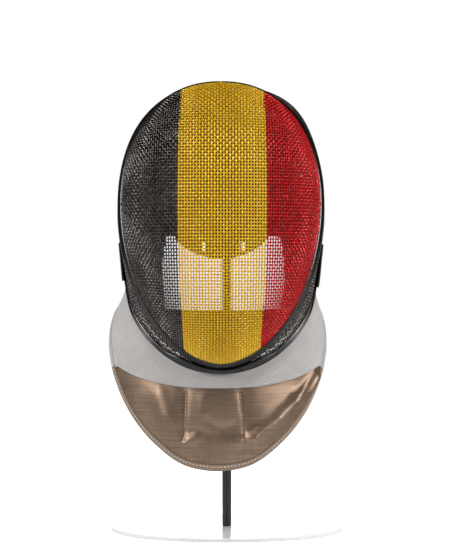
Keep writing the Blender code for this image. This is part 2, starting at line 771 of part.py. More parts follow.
def build_tongue(collection, cutters):
    """A padded tongue, thin along its sewn border, with two slots through its lower end."""
    front, back = [], []
    for row in range(TONGUE_ROWS + 1):
        share = row / TONGUE_ROWS
        ahead, behind = [], []
        for column in range(TONGUE_COLUMNS + 1):
            part = 2 * column / TONGUE_COLUMNS - 1
            here = tongue_point(part, share)
            across = tongue_point(part + SHARE_NUDGE, share) - tongue_point(part - SHARE_NUDGE, share)
            down = tongue_point(part, share + SHARE_NUDGE) - tongue_point(part, share - SHARE_NUDGE)
            on_border = row in (0, TONGUE_ROWS) or column in (0, TONGUE_COLUMNS)
            wall = TONGUE_EDGE_WALL if on_border else TONGUE_WALL
            out = down.cross(across).normalized() * wall / 2
            ahead.append(here - out)
            behind.append(here + out)
        front.append(ahead)
        back.append(behind)
    piece = place("rear_tongue", skin_mesh("rear_tongue", front, back), ["black_foam"], collection)
    for name, across in SLOT_PLACES.items():
        shape = bmesh.new()
        bmesh.ops.create_cube(shape, size=1)
        bmesh.ops.scale(shape, vec=SLOT_SIZE, verts=shape.verts)
        mesh = bpy.data.meshes.new(name)
        shape.to_mesh(mesh)
        shape.free()
        cutter = bpy.data.objects.new(name, mesh)
        cutter.location = (MASK_SHIFT + across, TONGUE_BOTTOM_DEPTH, SLOT_HEIGHT)
        cutter.hide_render = True
        cutter.display_type = "WIRE"
        cutters.objects.link(cutter)
        cut = piece.modifiers.new(name, "BOOLEAN")
        cut.object = cutter
        cut.operation = "DIFFERENCE"
        cut.solver = "EXACT"


def strap_end(height_share):
    """Where the strap leaves the trim, share 0 at its lower corner and 1 at its upper one."""
    angle = STRAP_ANGLES[1] + (STRAP_ANGLES[0] - STRAP_ANGLES[1]) * height_share
    return outer_edge(angle) + edge_direction(angle) * STRAP_CLEARANCE


def build_rear_strap(collection):
    """A strap round the back, which flares toward its ends."""
    columns = []
    for column in range(STRAP_COLUMNS + 1):
        turn = math.pi * column / STRAP_COLUMNS
        side = math.copysign(1, math.cos(turn))
        points = []
        for row in range(STRAP_ROWS + 1):
            share = row / STRAP_ROWS
            end = strap_end(share)
            across = end.x * abs(math.cos(turn))
            level = STRAP_BOTTOM + (STRAP_TOP - STRAP_BOTTOM) * share
            flare = ease((across - STRAP_FLARE_START) / (end.x - STRAP_FLARE_START))
            height = level + (end.z - level) * flare
            depth = end.y + (STRAP_BACK_DEPTH - end.y) * math.sin(turn)
            points.append(Vector((side * across, depth, height)))
        columns.append(points)
    piece = place("rear_strap", grid_mesh("rear_strap", columns), ["black_webbing"], collection)
    thicken(piece, STRAP_WALL)


def build_rod(collection):
    """The stand's rod and its domed cap under the crown pad, turned in one."""
    foot = BASE_THICKNESS + GAP
    profile = [
        (0, CAP_TOP),
        (CAP_FLAT_RADIUS, CAP_TOP - CAP_FLAT_DROP),
        (CAP_RADIUS, CAP_TOP - CAP_RIM_DROP),
        (CAP_RADIUS, CAP_TOP - CAP_RIM_DROP - CAP_RIM_HEIGHT),
        (ROD_RADIUS, ROD_SHOULDER),
        (ROD_RADIUS, foot),
        (0, foot),
    ]
    mesh = bpy.data.meshes.new("stand_rod")
    edges = [(index, index + 1) for index in range(len(profile) - 1)]
    mesh.from_pydata([(radius, 0, height) for radius, height in profile], edges, [])
    piece = place("stand_rod", mesh, ["black_steel"], collection, shifted=False)
    turn = piece.modifiers.new("turned", "SCREW")
    turn.steps = turn.render_steps = ROD_STEPS
    turn.use_merge_vertices = True
    turn.merge_threshold = WELD
    turn.use_smooth_shade = True


def build_base(collection):
    shape = bmesh.new()
    bmesh.ops.create_cone(
        shape,
        cap_ends=True,
        segments=BASE_SIDES,
        radius1=BASE_RADIUS,
        radius2=BASE_RADIUS,
        depth=BASE_THICKNESS,
        matrix=Matrix.Translation((0, 0, BASE_THICKNESS / 2)),
    )
    mesh = bpy.data.meshes.new("stand_base")
    shape.to_mesh(mesh)
    shape.free()
    piece = place("stand_base", mesh, ["white_steel"], collection, shifted=False)
    bevel = piece.modifiers.new("edge", "BEVEL")
    bevel.width = BASE_EDGE
    bevel.segments = 1
    bevel.limit_method = "ANGLE"


def build():
    clear_scene()
    parts = new_collection("fencing_mask_on_stand")
    cutters = new_collection("cutters")
    build_face(parts)
    build_seam_band(parts)
    build_side_mesh(parts)
    build_edge_trim(parts)
    build_ear_tabs(parts)
    build_bib(parts)
    build_binding(parts)
    build_pads(parts)
    build_chin_pad(parts)
    build_tongue(parts, cutters)
    build_rear_strap(parts)
    build_rod(parts)
    build_base(parts)


build()
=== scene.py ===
"""Looks of a fencing mask on a rod stand: woven wire, bound edges, a cloth bib and padding.

Metres, +Z up. The mask faces -Y. Stations round the mask are angles seen from the front:
0 at the crown, 90 at +X, 180 at the chin. Across is measured from the mask's middle plane.
"""
import functools
import math
from collections import namedtuple

import bmesh
import bpy
import numpy as np
from mathutils import Matrix, Vector, noise


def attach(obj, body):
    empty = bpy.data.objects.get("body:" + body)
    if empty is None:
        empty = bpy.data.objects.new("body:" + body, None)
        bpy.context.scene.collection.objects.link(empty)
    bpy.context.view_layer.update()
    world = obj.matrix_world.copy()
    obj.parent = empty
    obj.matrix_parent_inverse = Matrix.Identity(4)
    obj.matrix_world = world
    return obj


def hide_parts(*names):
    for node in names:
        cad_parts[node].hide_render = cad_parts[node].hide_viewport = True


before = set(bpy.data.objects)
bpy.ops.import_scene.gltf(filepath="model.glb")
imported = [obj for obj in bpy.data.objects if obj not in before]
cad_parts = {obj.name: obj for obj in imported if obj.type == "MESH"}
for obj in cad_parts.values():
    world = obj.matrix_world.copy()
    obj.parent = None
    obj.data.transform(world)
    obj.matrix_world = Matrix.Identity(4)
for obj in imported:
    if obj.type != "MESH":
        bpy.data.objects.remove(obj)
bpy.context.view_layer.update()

BODY = "root"
GAP = 0.0003
SEAT_GAP = 1.5 * GAP
QUARTER = math.pi / 2

# Small steps in degrees and in share of a wall, for directions on the surfaces
NUDGE = 0.4
SHARE_NUDGE = 0.01
END_SHARE = 0.03

# ---- The mask's sizes, the same as the solids' ----
MASK_SHIFT = -0.0058
FACE_HALF_WIDTH = 0.0966
WIDEST_HEIGHT = 0.324
CROWN_RISE = 0.1199
CHIN_DROP = 0.154
CROWN_POWER = 2.2
CHIN_POWER = 1.9
SEAM_TOP_DEPTH = -0.030
SEAM_SLOPE = -0.035
SEAM_CHIN_SWEEP = -0.023
DOME_DEPTH = 0.075
DOME_CHIN_CUT = 0.40
MESH_WALL = 0.002
STRIPE_HALF = 0.0425
STRIPE_SHIFT = 0.0014
STRIPE_CROWN_TAPER = 0.0025
STRIPE_CHIN_TAPER = 0.0065

BAND_WIDTH = 0.009
BAND_WALL = 0.0035
BAND_CROWN = 0.0006
LAY_CROWN = -8.0
LAY_EAR = 17.0
LAY_JAW = 20.0
LAY_REACH = 60
LAY_JAW_START = 80
LAY_JAW_REACH = 60
TRIM_WIDTH = 0.009
TRIM_WALL = 0.005
TRIM_CLOSE_ANGLE = 150
CHIN_JOIN_ANGLE = 166
CROWN_SWELL = 0.011
EAR_SWELL = 0.003
JAW_SWELL = 0.001
CROWN_SWELL_POWER = 1.5
JAW_SWELL_START = 95
JAW_SWELL_REACH = 40
RIGHT_SWELL = 0.010
RIGHT_SWELL_ANGLE = 33
RIGHT_SWELL_SPREAD = 22

Edge = namedtuple("Edge", "angle across depth height")
OUTER_EDGE = [
    Edge(0, 0.0, 0.080, 0.398),
    Edge(20, 0.034, 0.076, 0.393),
    Edge(40, 0.062, 0.064, 0.381),
    Edge(60, 0.084, 0.052, 0.357),
    Edge(75, 0.096, 0.046, 0.329),
    Edge(90, 0.0980, 0.034, 0.300),
    Edge(100, 0.0962, 0.022, 0.285),
    Edge(110, 0.0944, 0.008, 0.269),
    Edge(120, 0.0922, -0.009, 0.2447),
    Edge(130, 0.0866, -0.026, 0.2187),
    Edge(140, 0.0735, -0.042, 0.1969),
    Edge(150, 0.0560, -0.054, 0.1795),
    Edge(160, 0.0372, -0.063, 0.1683),
    Edge(170, 0.0180, -0.0695, 0.1628),
    Edge(180, 0.0, -0.0715, 0.1612),
]
EAR_TABS = {"ear_tab_left": (-99, -118), "ear_tab_right": (100, 120.5)}
TAB_WIDTH = 0.011
TAB_WALL = 0.002
TAB_OVERHANG = 0.0005

BIB_SWELL = 0.006
BIB_WALL = 0.003
BIB_FULL_LENGTH = 0.09
BIB_START_ANGLE = 112
BINDING_WIDTH = 0.007
BINDING_WALL = 0.0042
SEAM_HEIGHT = 0.1428
SEAM_RISE = 0.0262
SEAM_POWER = 2.6
SEAM_HALF_SPAN = 0.108
HEM_LEAN = -0.0033
Hem = namedtuple("Hem", "angle across depth height")
HEM = [
    Hem(104, 0.0870, 0.030, 0.270),
    Hem(112, 0.0880, 0.025, 0.254),
    Hem(118, 0.0902, 0.020, 0.233),
    Hem(125, 0.1035, 0.013, 0.2125),
    Hem(133, 0.1080, 0.005, 0.190),
    Hem(141, 0.1055, -0.005, 0.165),
    Hem(149, 0.0970, -0.016, 0.139),
    Hem(157, 0.0830, -0.030, 0.1135),
    Hem(165, 0.0620, -0.043, 0.0895),
    Hem(173, 0.0335, -0.054, 0.0695),
    Hem(180, 0.0, -0.058, 0.0635),
]

# How many widths from its line a fold has died away, and the halvings that find a border
FOLD_REACH = 3
SEAM_HALVINGS = 24

# Folds of the bib, end to end as seen from the front: the soft ones that the solids have too,
# then the sharp creases, puckers and darts
Fold = namedtuple("Fold", "across_a height_a across_b height_b lift width")
FOLDS = [
    Fold(-0.034, 0.143, -0.036, 0.092, -0.0016, 0.006),
    Fold(0.019, 0.143, 0.023, 0.092, -0.0016, 0.006),
    Fold(0.030, 0.098, 0.072, 0.134, 0.0030, 0.009),
    Fold(0.072, 0.134, 0.094, 0.152, 0.0022, 0.007),
    Fold(-0.026, 0.103, 0.014, 0.100, -0.0015, 0.006),
    Fold(-0.060, 0.136, -0.038, 0.092, 0.0016, 0.009),
    Fold(0.030, 0.152, 0.080, 0.186, 0.0014, 0.007),
]
CREASES = [
    Fold(-0.034, 0.139, -0.0356, 0.094, -0.0019, 0.0017),
    Fold(0.019, 0.140, 0.023, 0.094, -0.0019, 0.0017),
    Fold(-0.0335, 0.0925, -0.0235, 0.0975, 0.0026, 0.0048),
    Fold(0.0150, 0.0925, 0.0300, 0.0955, 0.0026, 0.0050),
    Fold(0.0330, 0.0985, 0.0500, 0.1080, 0.0030, 0.0062),
    Fold(0.0575, 0.1150, 0.0720, 0.1310, 0.0032, 0.0062),
    Fold(0.0780, 0.1400, 0.0900, 0.1590, 0.0018, 0.0032),
    Fold(0.0840, 0.1330, 0.0960, 0.1530, 0.0014, 0.0026),
    Fold(-0.0150, 0.1130, -0.0050, 0.1085, -0.0022, 0.0050),
    Fold(0.0035, 0.1070, 0.0130, 0.1085, -0.0022, 0.0050),
    Fold(-0.0580, 0.1400, -0.0520, 0.1180, 0.0020, 0.0080),
    Fold(-0.0160, 0.1350, -0.0170, 0.1150, 0.0012, 0.0060),
]


def ease(share):
    """A smooth step from 0 to 1."""
    share = min(max(share, 0), 1)
    return share * share * (3 - 2 * share)


def from_crown(angle):
    """Angle from the crown, 0 to 180, on whichever side it lies."""
    return abs((angle + 180) % 360 - 180)


def mirrored(rows, middle):
    """The rows of a table on the other side of an angle, in rising order."""
    flip = [type(row)(2 * middle - row.angle, -row.across, *row[2:]) for row in rows]
    return flip[::-1]


def along_table(rows, angle):
    """Point of a table at an angle, on a smooth curve through its rows."""
    last = len(rows) - 2
    index = next((i for i in range(last) if angle < rows[i + 1].angle), last)
    near = [rows[min(max(index + step, 0), len(rows) - 1)] for step in (-1, 0, 1, 2)]
    points = [Vector(row[1:]) for row in near]
    span = near[2].angle - near[1].angle
    start = (points[2] - points[0]) * span / (near[2].angle - near[0].angle)
    end = (points[3] - points[1]) * span / (near[3].angle - near[1].angle)
    t = (angle - near[1].angle) / span
    return (
        points[1] * (2 * t**3 - 3 * t**2 + 1)
        + start * (t**3 - 2 * t**2 + t)
        + points[2] * (3 * t**2 - 2 * t**3)
        + end * (t**3 - t**2)
    )


EDGE_LOOP = mirrored(OUTER_EDGE, 0)[:-1] + OUTER_EDGE + mirrored(OUTER_EDGE, 180)[1:]
HEM_LOOP = HEM + mirrored(HEM, 180)[1:]


def outer_edge(angle):
    return along_table(EDGE_LOOP, angle)


def rim_depth(height):
    """Depth of the seam between the face and the side mesh at a height."""
    top = WIDEST_HEIGHT + CROWN_RISE
    fall = (top - height) / (CROWN_RISE + CHIN_DROP)
    return SEAM_TOP_DEPTH + SEAM_SLOPE * fall + SEAM_CHIN_SWEEP * fall**3


def rim(angle):
    """Point where the face's dome ends."""
    turn = math.radians(angle)
    sine, cosine = math.sin(turn), math.cos(turn)
    rise, power = (CROWN_RISE, CROWN_POWER) if cosine > 0 else (CHIN_DROP, CHIN_POWER)
    across = math.copysign(abs(sine) ** (2 / power), sine) * FACE_HALF_WIDTH
    height = WIDEST_HEIGHT + math.copysign(abs(cosine) ** (2 / power), cosine) * rise
    return Vector((across, rim_depth(height), height))


def rim_height(across, side):
    """Height of the rim above a place across the face, side 1 at the crown and -1 at the chin."""
    rise, power = (CROWN_RISE, CROWN_POWER) if side > 0 else (CHIN_DROP, CHIN_POWER)
    share = min(abs(across) / FACE_HALF_WIDTH, 1)
    return WIDEST_HEIGHT + side * rise * (1 - share**power) ** (1 / power)


@functools.cache
def seam_frame(angle):
    """Rim point, direction along the seam, direction across its band, and the band's outer side."""
    here = rim(angle)
    along = (rim(angle + NUDGE) - rim(angle - NUDGE)).normalized()
    outward = Vector((-along.z, 0, along.x)).normalized()
    turned = from_crown(angle)
    lay = LAY_CROWN + (LAY_EAR - LAY_CROWN) * ease(turned / LAY_REACH)
    lay = math.radians(lay + (LAY_JAW - LAY_EAR) * ease((turned - LAY_JAW_START) / LAY_JAW_REACH))
    across = Vector((0, math.cos(lay), 0)) + outward * math.sin(lay)
    across = (across - along * across.dot(along)).normalized()
    clear = SEAT_GAP + MESH_WALL / 2 * abs(math.sin(lay))
    return here + across * clear, along, across, along.cross(across)


def seam_end(angle):
    start, _, across, _ = seam_frame(angle)
    return start + across * BAND_WIDTH


@functools.cache
def side_frame(angle):
    """Where the side wall starts and ends at an angle, its outer side and its swell."""
    start, end = seam_end(angle), outer_edge(angle)
    before = seam_end(angle - NUDGE) + outer_edge(angle - NUDGE)
    after = seam_end(angle + NUDGE) + outer_edge(angle + NUDGE)
    outward = (after - before).cross(end - start).normalized()
    turned = from_crown(angle)
    swell = EAR_SWELL + CROWN_SWELL * max(math.cos(math.radians(turned)), 0) ** CROWN_SWELL_POWER
    swell += (JAW_SWELL - EAR_SWELL) * ease((turned - JAW_SWELL_START) / JAW_SWELL_REACH)
    swell += RIGHT_SWELL * math.exp(-((angle - RIGHT_SWELL_ANGLE) / RIGHT_SWELL_SPREAD) ** 2)
    return start, end, outward, swell


def side_wall(angle, share):
    """Point of the side mesh's surface, share 0 at the seam band and 1 at the outer edge."""
    start, end, outward, swell = side_frame(angle)
    return start.lerp(end, share) + outward * swell * 4 * share * (1 - share)


def side_length(angle):
    return (outer_edge(angle) - seam_end(angle)).length


def side_normal(angle, share):
    along = side_wall(angle + NUDGE, share) - side_wall(angle - NUDGE, share)
    across = side_wall(angle, share + SHARE_NUDGE) - side_wall(angle, share - SHARE_NUDGE)
    return along.cross(across).normalized()


def seam_clearance(angle, wall):
    """How far past the seam band a wall of this thickness starts, so that its corner stays clear."""
    _, _, across, _ = seam_frame(angle)
    run = (side_wall(angle, END_SHARE) - side_wall(angle, 0)).normalized()
    bend = across.angle(run)
    return (SEAT_GAP + wall / 2 * math.sin(bend)) / math.cos(bend)


def trim_share(angle):
    """Share of the side wall at which the trim begins; at the chin it meets the seam band."""
    length = side_length(angle)
    open_share = 1 - TRIM_WIDTH / length
    closed_share = seam_clearance(angle, TRIM_WALL) / length
    joined = ease((from_crown(angle) - TRIM_CLOSE_ANGLE) / (CHIN_JOIN_ANGLE - TRIM_CLOSE_ANGLE))
    return open_share + (closed_share - open_share) * joined


def edge_direction(angle):
    """Direction in which the side wall runs out at the outer edge."""
    return (side_wall(angle, 1) - side_wall(angle, 1 - END_SHARE)).normalized()


def bib_top(angle):
    """The bib's upper end, just past the trim's edge."""
    return outer_edge(angle) + edge_direction(angle) * (BIB_WALL / 2 + 2 * GAP)


def hem(angle):
    return along_table(HEM_LOOP, angle) + Vector((HEM_LEAN, 0, 0))


def fold_lift(folds, across, height):
    """How far folds raise the bib at a place seen from the front."""
    lift = 0
    here = Vector((across, height))
    for fold in folds:
        start = Vector((fold.across_a, fold.height_a))
        run = Vector((fold.across_b, fold.height_b)) - start
        share = min(max((here - start).dot(run) / run.length_squared, 0), 1)
        away = (here - start - run * share).length / fold.width
        if away < FOLD_REACH:
            lift += fold.lift * math.exp(-away * away)
    return lift


@functools.cache
def bib_frame(angle):
    """Where the bib starts and ends at an angle, its outer side and its swell."""
    start, end = bib_top(angle), hem(angle)
    before = bib_top(angle - NUDGE) + hem(angle - NUDGE)
    after = bib_top(angle + NUDGE) + hem(angle + NUDGE)
    outward = (after - before).cross(end - start).normalized()
    swell = BIB_SWELL * ease((end - start).length / BIB_FULL_LENGTH)
    return start, end, outward, swell


def bib_point(angle, share):
    """Point of the bib's middle surface, share 0 at the trim and 1 at the hem."""
    start, end, outward, swell = bib_frame(angle)
    flat = start.lerp(end, share)
    arch = 4 * share * (1 - share)
    return flat + outward * (swell * arch + fold_lift(FOLDS, flat.x, flat.z) * ease(arch * 2))


def bib_length(angle):
    start, end, _, _ = bib_frame(angle)
    return (end - start).length


def above_seam(angle, share):
    """How far a place on the bib lies above the seam between its two cloths."""
    start, end, _, _ = bib_frame(angle)
    here = start.lerp(end, share)
    return here.z - SEAM_HEIGHT - SEAM_RISE * abs((here.x - HEM_LEAN) / SEAM_HALF_SPAN) ** SEAM_POWER


def seam_share(angle, last):
    """Share of the bib at which the white cloth ends, not past the last one."""
    if above_seam(angle, last) > 0:
        return last
    low, high = 0, last
    for _ in range(SEAM_HALVINGS):
        middle = (low + high) / 2
        if above_seam(angle, middle) > 0:
            low = middle
        else:
            high = middle
    return low


def spread(first, last, count):
    """Evenly spaced values, both ends included."""
    return [first + (last - first) * step / count for step in range(count + 1)]


# ---- Nodes, materials and meshes ----
def add_node(tree, kind, inputs=(), **settings):
    """Adds a node: settings go on it, and each input takes a value or another node's output."""
    made = tree.nodes.new(kind)
    for name, value in settings.items():
        setattr(made, name, value)
    for key, value in dict(inputs).items():
        if isinstance(value, bpy.types.NodeSocket):
            tree.links.new(value, made.inputs[key])
        else:
            made.inputs[key].default_value = value
    return made


def linear(code):
    """Linear colour of an sRGB hex value."""
    parts = [int(code[index : index + 2], 16) / 255 for index in (1, 3, 5)]
    return (*[part / 12.92 if part <= 0.04045 else ((part + 0.055) / 1.055) ** 2.4 for part in parts], 1)


def new_finish(name, **constants):
    """A material, its node tree and its shader, with constants on the shader's own sockets."""
    material = bpy.data.materials.new(name)
    material.use_nodes = True
    shader = material.node_tree.nodes["Principled BSDF"]
    for key, value in constants.items():
        shader.inputs[key.replace("_", " ")].default_value = value
    return material, material.node_tree, shader


def per_mm(size):
    """Texture scale at which a noise or Voronoi feature is this many millimetres wide."""
    return 1000 / size


def clouded_finish(name, colours, cloud, stops=(0, 1), gloss=None, grain=None, **constants):
    """A finish whose colour and gloss drift over a soft noise, with a fine grain.

    cloud has the noise's settings and gloss the roughness at both its ends. grain has a texture's kind,
    settings and output, then the strength and depth of the bump that it makes.
    """
    material, tree, shader = new_finish(name, **constants)
    place = add_node(tree, "ShaderNodeTexCoord").outputs["Object"]
    drift = add_node(tree, "ShaderNodeTexNoise", {"Vector": place, **cloud}).outputs["Fac"]
    ramp = add_node(tree, "ShaderNodeValToRGB", {"Fac": drift})
    for element, stop, colour in zip(ramp.color_ramp.elements, stops, colours):
        element.position = stop
        element.color = linear(colour)
    tree.links.new(ramp.outputs["Color"], shader.inputs["Base Color"])
    if gloss:
        worn = add_node(tree, "ShaderNodeMapRange", {"Value": drift, "To Min": gloss[0], "To Max": gloss[1]})
        tree.links.new(worn.outputs["Result"], shader.inputs["Roughness"])
    if grain:
        kind, settings, output, strength, depth = grain
        height = add_node(tree, kind, {"Vector": place, **settings}).outputs[output]
        bump = add_node(tree, "ShaderNodeBump", {"Height": height, "Strength": strength, "Distance": depth})
        tree.links.new(bump.outputs["Normal"], shader.inputs["Normal"])
    return material


STREAK_MM = 60


def woven_threads(tree, warp_mm, weft_mm):
    """Plain weave on a piece's cloth map: its height, and one number for each weft and each warp.

    The threads' own streaks are drawn STREAK_MM long.
    """
    cloth = add_node(tree, "ShaderNodeUVMap", uv_map="cloth").outputs["UV"]
    axes = add_node(tree, "ShaderNodeSeparateXYZ", {"Vector": cloth})
    waves = []
    for axis, pitch in (("X", warp_mm), ("Y", weft_mm)):
        turns = add_node(
            tree, "ShaderNodeMath", {0: axes.outputs[axis], 1: math.pi * per_mm(pitch)}, operation="MULTIPLY"
        )
        waves.append(add_node(tree, "ShaderNodeMath", {0: turns.outputs[0]}, operation="SINE").outputs[0])
    product = add_node(tree, "ShaderNodeMath", {0: waves[0], 1: waves[1]}, operation="MULTIPLY")
    height = add_node(tree, "ShaderNodeMath", {0: product.outputs[0]}, operation="ABSOLUTE")
    streaks = []
    for across, along in ((weft_mm, STREAK_MM), (STREAK_MM, warp_mm)):
        scale = (per_mm(along), per_mm(across), 1)
        drawn = add_node(tree, "ShaderNodeMapping", {"Vector": cloth, "Scale": scale}).outputs[0]
        streaks.append(add_node(tree, "ShaderNodeTexNoise", {"Vector": drawn, "Scale": 1, "Detail": 3}))
    return height.outputs[0], streaks[0].outputs["Fac"], streaks[1].outputs["Fac"]


def woven_finish(
    name, colours, pitches, span, relief, shares=(1, 1), cloud_mm=None, gloss=None, **constants
):
    """A woven finish of thick and thin threads, the warps and wefts these pitches apart in mm.

    shares weigh the wefts and the warps. What is added to them is a cloud of this size, or else the weave,
    and the colour runs over this span of the sum. relief is the strength and depth of the weave's bump,
    and gloss the roughness of the thinnest and the thickest wefts.
    """
    material, tree, shader = new_finish(name, **constants)
    weave, wefts, warps = woven_threads(tree, *pitches)
    added = weave
    if cloud_mm:
        place = add_node(tree, "ShaderNodeTexCoord").outputs["Object"]
        cloud = {"Vector": place, "Scale": per_mm(cloud_mm), "Detail": 5, "Roughness": 0.6}
        added = add_node(tree, "ShaderNodeTexNoise", cloud).outputs["Fac"]
    total = 0.0
    for value, share in ((warps, shares[1]), (wefts, shares[0]), (added, 1)):
        total = add_node(
            tree, "ShaderNodeMath", {0: value, 1: share, 2: total}, operation="MULTIPLY_ADD"
        ).outputs[0]
    shade = add_node(tree, "ShaderNodeMapRange", {"Value": total, "From Min": span[0], "From Max": span[1]})
    ramp = add_node(tree, "ShaderNodeValToRGB", {"Fac": shade.outputs["Result"]})
    for element, colour in zip(ramp.color_ramp.elements, colours):
        element.color = linear(colour)
    tree.links.new(ramp.outputs["Color"], shader.inputs["Base Color"])
    if gloss:
        worn = add_node(tree, "ShaderNodeMapRange", {"Value": wefts, "To Min": gloss[0], "To Max": gloss[1]})
        tree.links.new(worn.outputs["Result"], shader.inputs["Roughness"])
    bump = add_node(tree, "ShaderNodeBump", {"Height": weave, "Strength": relief[0], "Distance": relief[1]})
    tree.links.new(bump.outputs["Normal"], shader.inputs["Normal"])
    return material


# Steel wire dipped in stoving enamel: wet-looking where it pools, duller on the rubbed crests
ENAMEL = {
    "stops": (0.32, 0.68),
    "cloud": {"Scale": per_mm(4), "Detail": 3},
    "grain": ("ShaderNodeTexNoise", {"Scale": per_mm(0.5), "Detail": 2}, "Fac", 0.25, 0.0001),
    "Coat_Roughness": 0.12,
}
YELLOW_ENAMEL = clouded_finish(
    "yellow_enamel_on_steel_wire", ("#f0b400", "#ffd824"), gloss=(0.38, 0.2), Metallic=0.35, Coat_Weight=0.6,
    **ENAMEL,
)
RED_ENAMEL = clouded_finish(
    "red_enamel_on_steel_wire", ("#b40408", "#e60c0c"), gloss=(0.36, 0.2), Metallic=0.4, Coat_Weight=0.45,
    **ENAMEL,
)
BLACK_ENAMEL = clouded_finish(
    "black_enamel_on_steel_wire", ("#2c2725", "#786e68"), gloss=(0.18, 0.08), Metallic=0.95, Coat_Weight=1.0,
    **ENAMEL,
)
# Soft vinyl channel, calendered smooth: a broad gloss broken by a fine grain and rubbed streaks
BLACK_VINYL = clouded_finish(
    "black_calendered_vinyl",
    ("#070504", "#14100c"),
    {"Scale": per_mm(14), "Detail": 6, "Roughness": 0.7},
    stops=(0.4, 0.75),
    gloss=(0.14, 0.32),
    grain=("ShaderNodeTexVoronoi", {"Scale": per_mm(0.9)}, "Distance", 0.2, 0.0002),
    IOR=1.52,
    Specular_IOR_Level=0.6,
)
# Brushed tricot knit over foam: soft, dull, with small loops that show at a grazing look
BLACK_KNIT = clouded_finish(
    "black_brushed_tricot",
    ("#050505", "#0e0e0f"),
    {"Scale": per_mm(9), "Detail": 6},
    stops=(0.3, 0.75),
    grain=("ShaderNodeTexVoronoi", {"Scale": per_mm(1.3)}, "Distance", 0.5, 0.0005),
    Roughness=0.95,
    Sheen_Weight=0.03,
    Sheen_Roughness=0.45,
)
# Powder-coated steel: an even satin skin with a slight orange peel
POWDER_COAT = {
    "cloud": {"Scale": per_mm(40), "Detail": 5},
    "grain": ("ShaderNodeTexNoise", {"Scale": per_mm(1.5), "Detail": 2}, "Fac", 0.3, 0.0002),
    "IOR": 1.5,
}
BLACK_STEEL = clouded_finish(
    "black_powder_coated_steel", ("#100f0e", "#1b1a19"), gloss=(0.35, 0.5), **POWDER_COAT
)
WHITE_STEEL = clouded_finish(
    "white_powder_coated_steel", ("#f0f0ef", "#f8f8f7"), gloss=(0.4, 0.55), **POWDER_COAT
)
# Twisted polyester sewing thread: slightly shiny, lighter along the top of each stitch
THREAD = {"cloud": {"Scale": per_mm(0.6), "Detail": 1}, "Roughness": 0.6, "Sheen_Weight": 0.2}
PALE_THREAD = clouded_finish("ecru_polyester_thread", ("#dccdbd", "#f6ece0"), **THREAD)
DARK_THREAD = clouded_finish("brown_polyester_thread", ("#3a2f28", "#5e4f44"), **THREAD)
WHITE_THREAD = clouded_finish("white_polyester_thread", ("#bdb9b6", "#e6e4e2"), **THREAD)
# Grey thread for the ear tabs' stitches: pale so that it stands in for glints on the braided webbing, a
# painted highlight
GLINT_GREY_THREAD = clouded_finish("grey_waxed_thread", ("#6b6460", "#b8b0ab"), **THREAD)
# Bleached cotton twill, a little grey from washing: matt, with thick and thin threads
WHITE_COTTON = woven_finish(
    "white_washed_cotton_twill",
    ("#b4b0ae", "#cfccca"),
    (0.7, 0.7),
    span=(1.1, 1.9),
    relief=(0.35, 0.0002),
    cloud_mm=30,
    Roughness=0.9,
    Sheen_Weight=0.25,
    Sheen_Roughness=0.6,
)
# Steel-and-polyester lame: silky bands along the wefts, each thread catching light by itself. The
# threads are drawn 0.9 mm apart, about three times as coarse as the real ones, to show
LAME = woven_finish(
    "steel_and_polyester_lame",
    ("#6f5b4b", "#a98f79"),
    (1.1, 0.9),
    span=(1.0, 2.2),
    relief=(0.4, 0.0002),
    shares=(1.7, 0.5),
    cloud_mm=26,
    gloss=(0.28, 0.46),
    Metallic=0.75,
    Anisotropic=0.3,
)
# Woven tape or webbing: ribs across its length, matt threads with a little fluff
TAPE = {"span": (0.9, 1.9), "relief": (0.6, 0.0004), "Roughness": 0.82, "Sheen_Roughness": 0.5}
TAPE_PITCHES = (1.0, 0.8)
WEBBING_PITCHES = (1.4, 1.12)
BEIGE_TAPE = woven_finish(
    "beige_woven_binding_tape", ("#806b5a", "#b49d89"), TAPE_PITCHES, Sheen_Weight=0.05, **TAPE
)
# Dark grey on the tape's outermost sides: painted shade of the fold where the tape turns under
SHADED_TAPE_EDGE = woven_finish(
    "grey_folded_tape_edge", ("#4a423c", "#74695f"), TAPE_PITCHES, Sheen_Weight=0.1, **TAPE
)
WHITE_TAPE = woven_finish(
    "white_woven_binding_tape", ("#bbb6b3", "#dedbd9"), TAPE_PITCHES, Sheen_Weight=0.2, **TAPE
)
BLACK_WEBBING = woven_finish(
    "black_elastic_webbing", ("#0b0b0b", "#201f1e"), WEBBING_PITCHES, Sheen_Weight=0.12, **TAPE
)


def new_piece(name, mesh):
    piece = bpy.data.objects.new(name, mesh)
    bpy.context.scene.collection.objects.link(piece)
    return piece


def made_plain(piece):
    """The piece with its modifiers worked into a plain mesh."""
    bpy.context.view_layer.update()
    shown = piece.evaluated_get(bpy.context.evaluated_depsgraph_get())
    mesh = bpy.data.meshes.new_from_object(shown)
    piece.modifiers.clear()
    piece.data = mesh
    return piece


def finished(piece, replaced=(), finish=None):
    """Gives a piece its finish, makes it part of the object and hides the parts that it replaces."""
    if finish:
        piece.data.materials.clear()
        piece.data.materials.append(finish)
    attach(piece, BODY)
    if replaced:
        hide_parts(*replaced)
    return piece


def shifted(piece):
    """Moves a mask piece's mesh from the mask's middle plane to the stand's frame."""
    piece.data.transform(Matrix.Translation((MASK_SHIFT, 0, 0)))
    return piece


def skin_mesh(name, rows, faces, cloth):
    """A smooth mesh over rows of points; cloth gives each point its place on the flat cloth, in metres."""
    mesh = bpy.data.meshes.new(name)
    mesh.from_pydata([tuple(point) for row in rows for point in row], [], faces)
    if cloth:
        flat = [place for row in cloth for place in row]
        layer = mesh.uv_layers.new(name="cloth")
        for loop in mesh.loops:
            layer.data[loop.index].uv = flat[loop.vertex_index]
    mesh.shade_smooth()
    return mesh


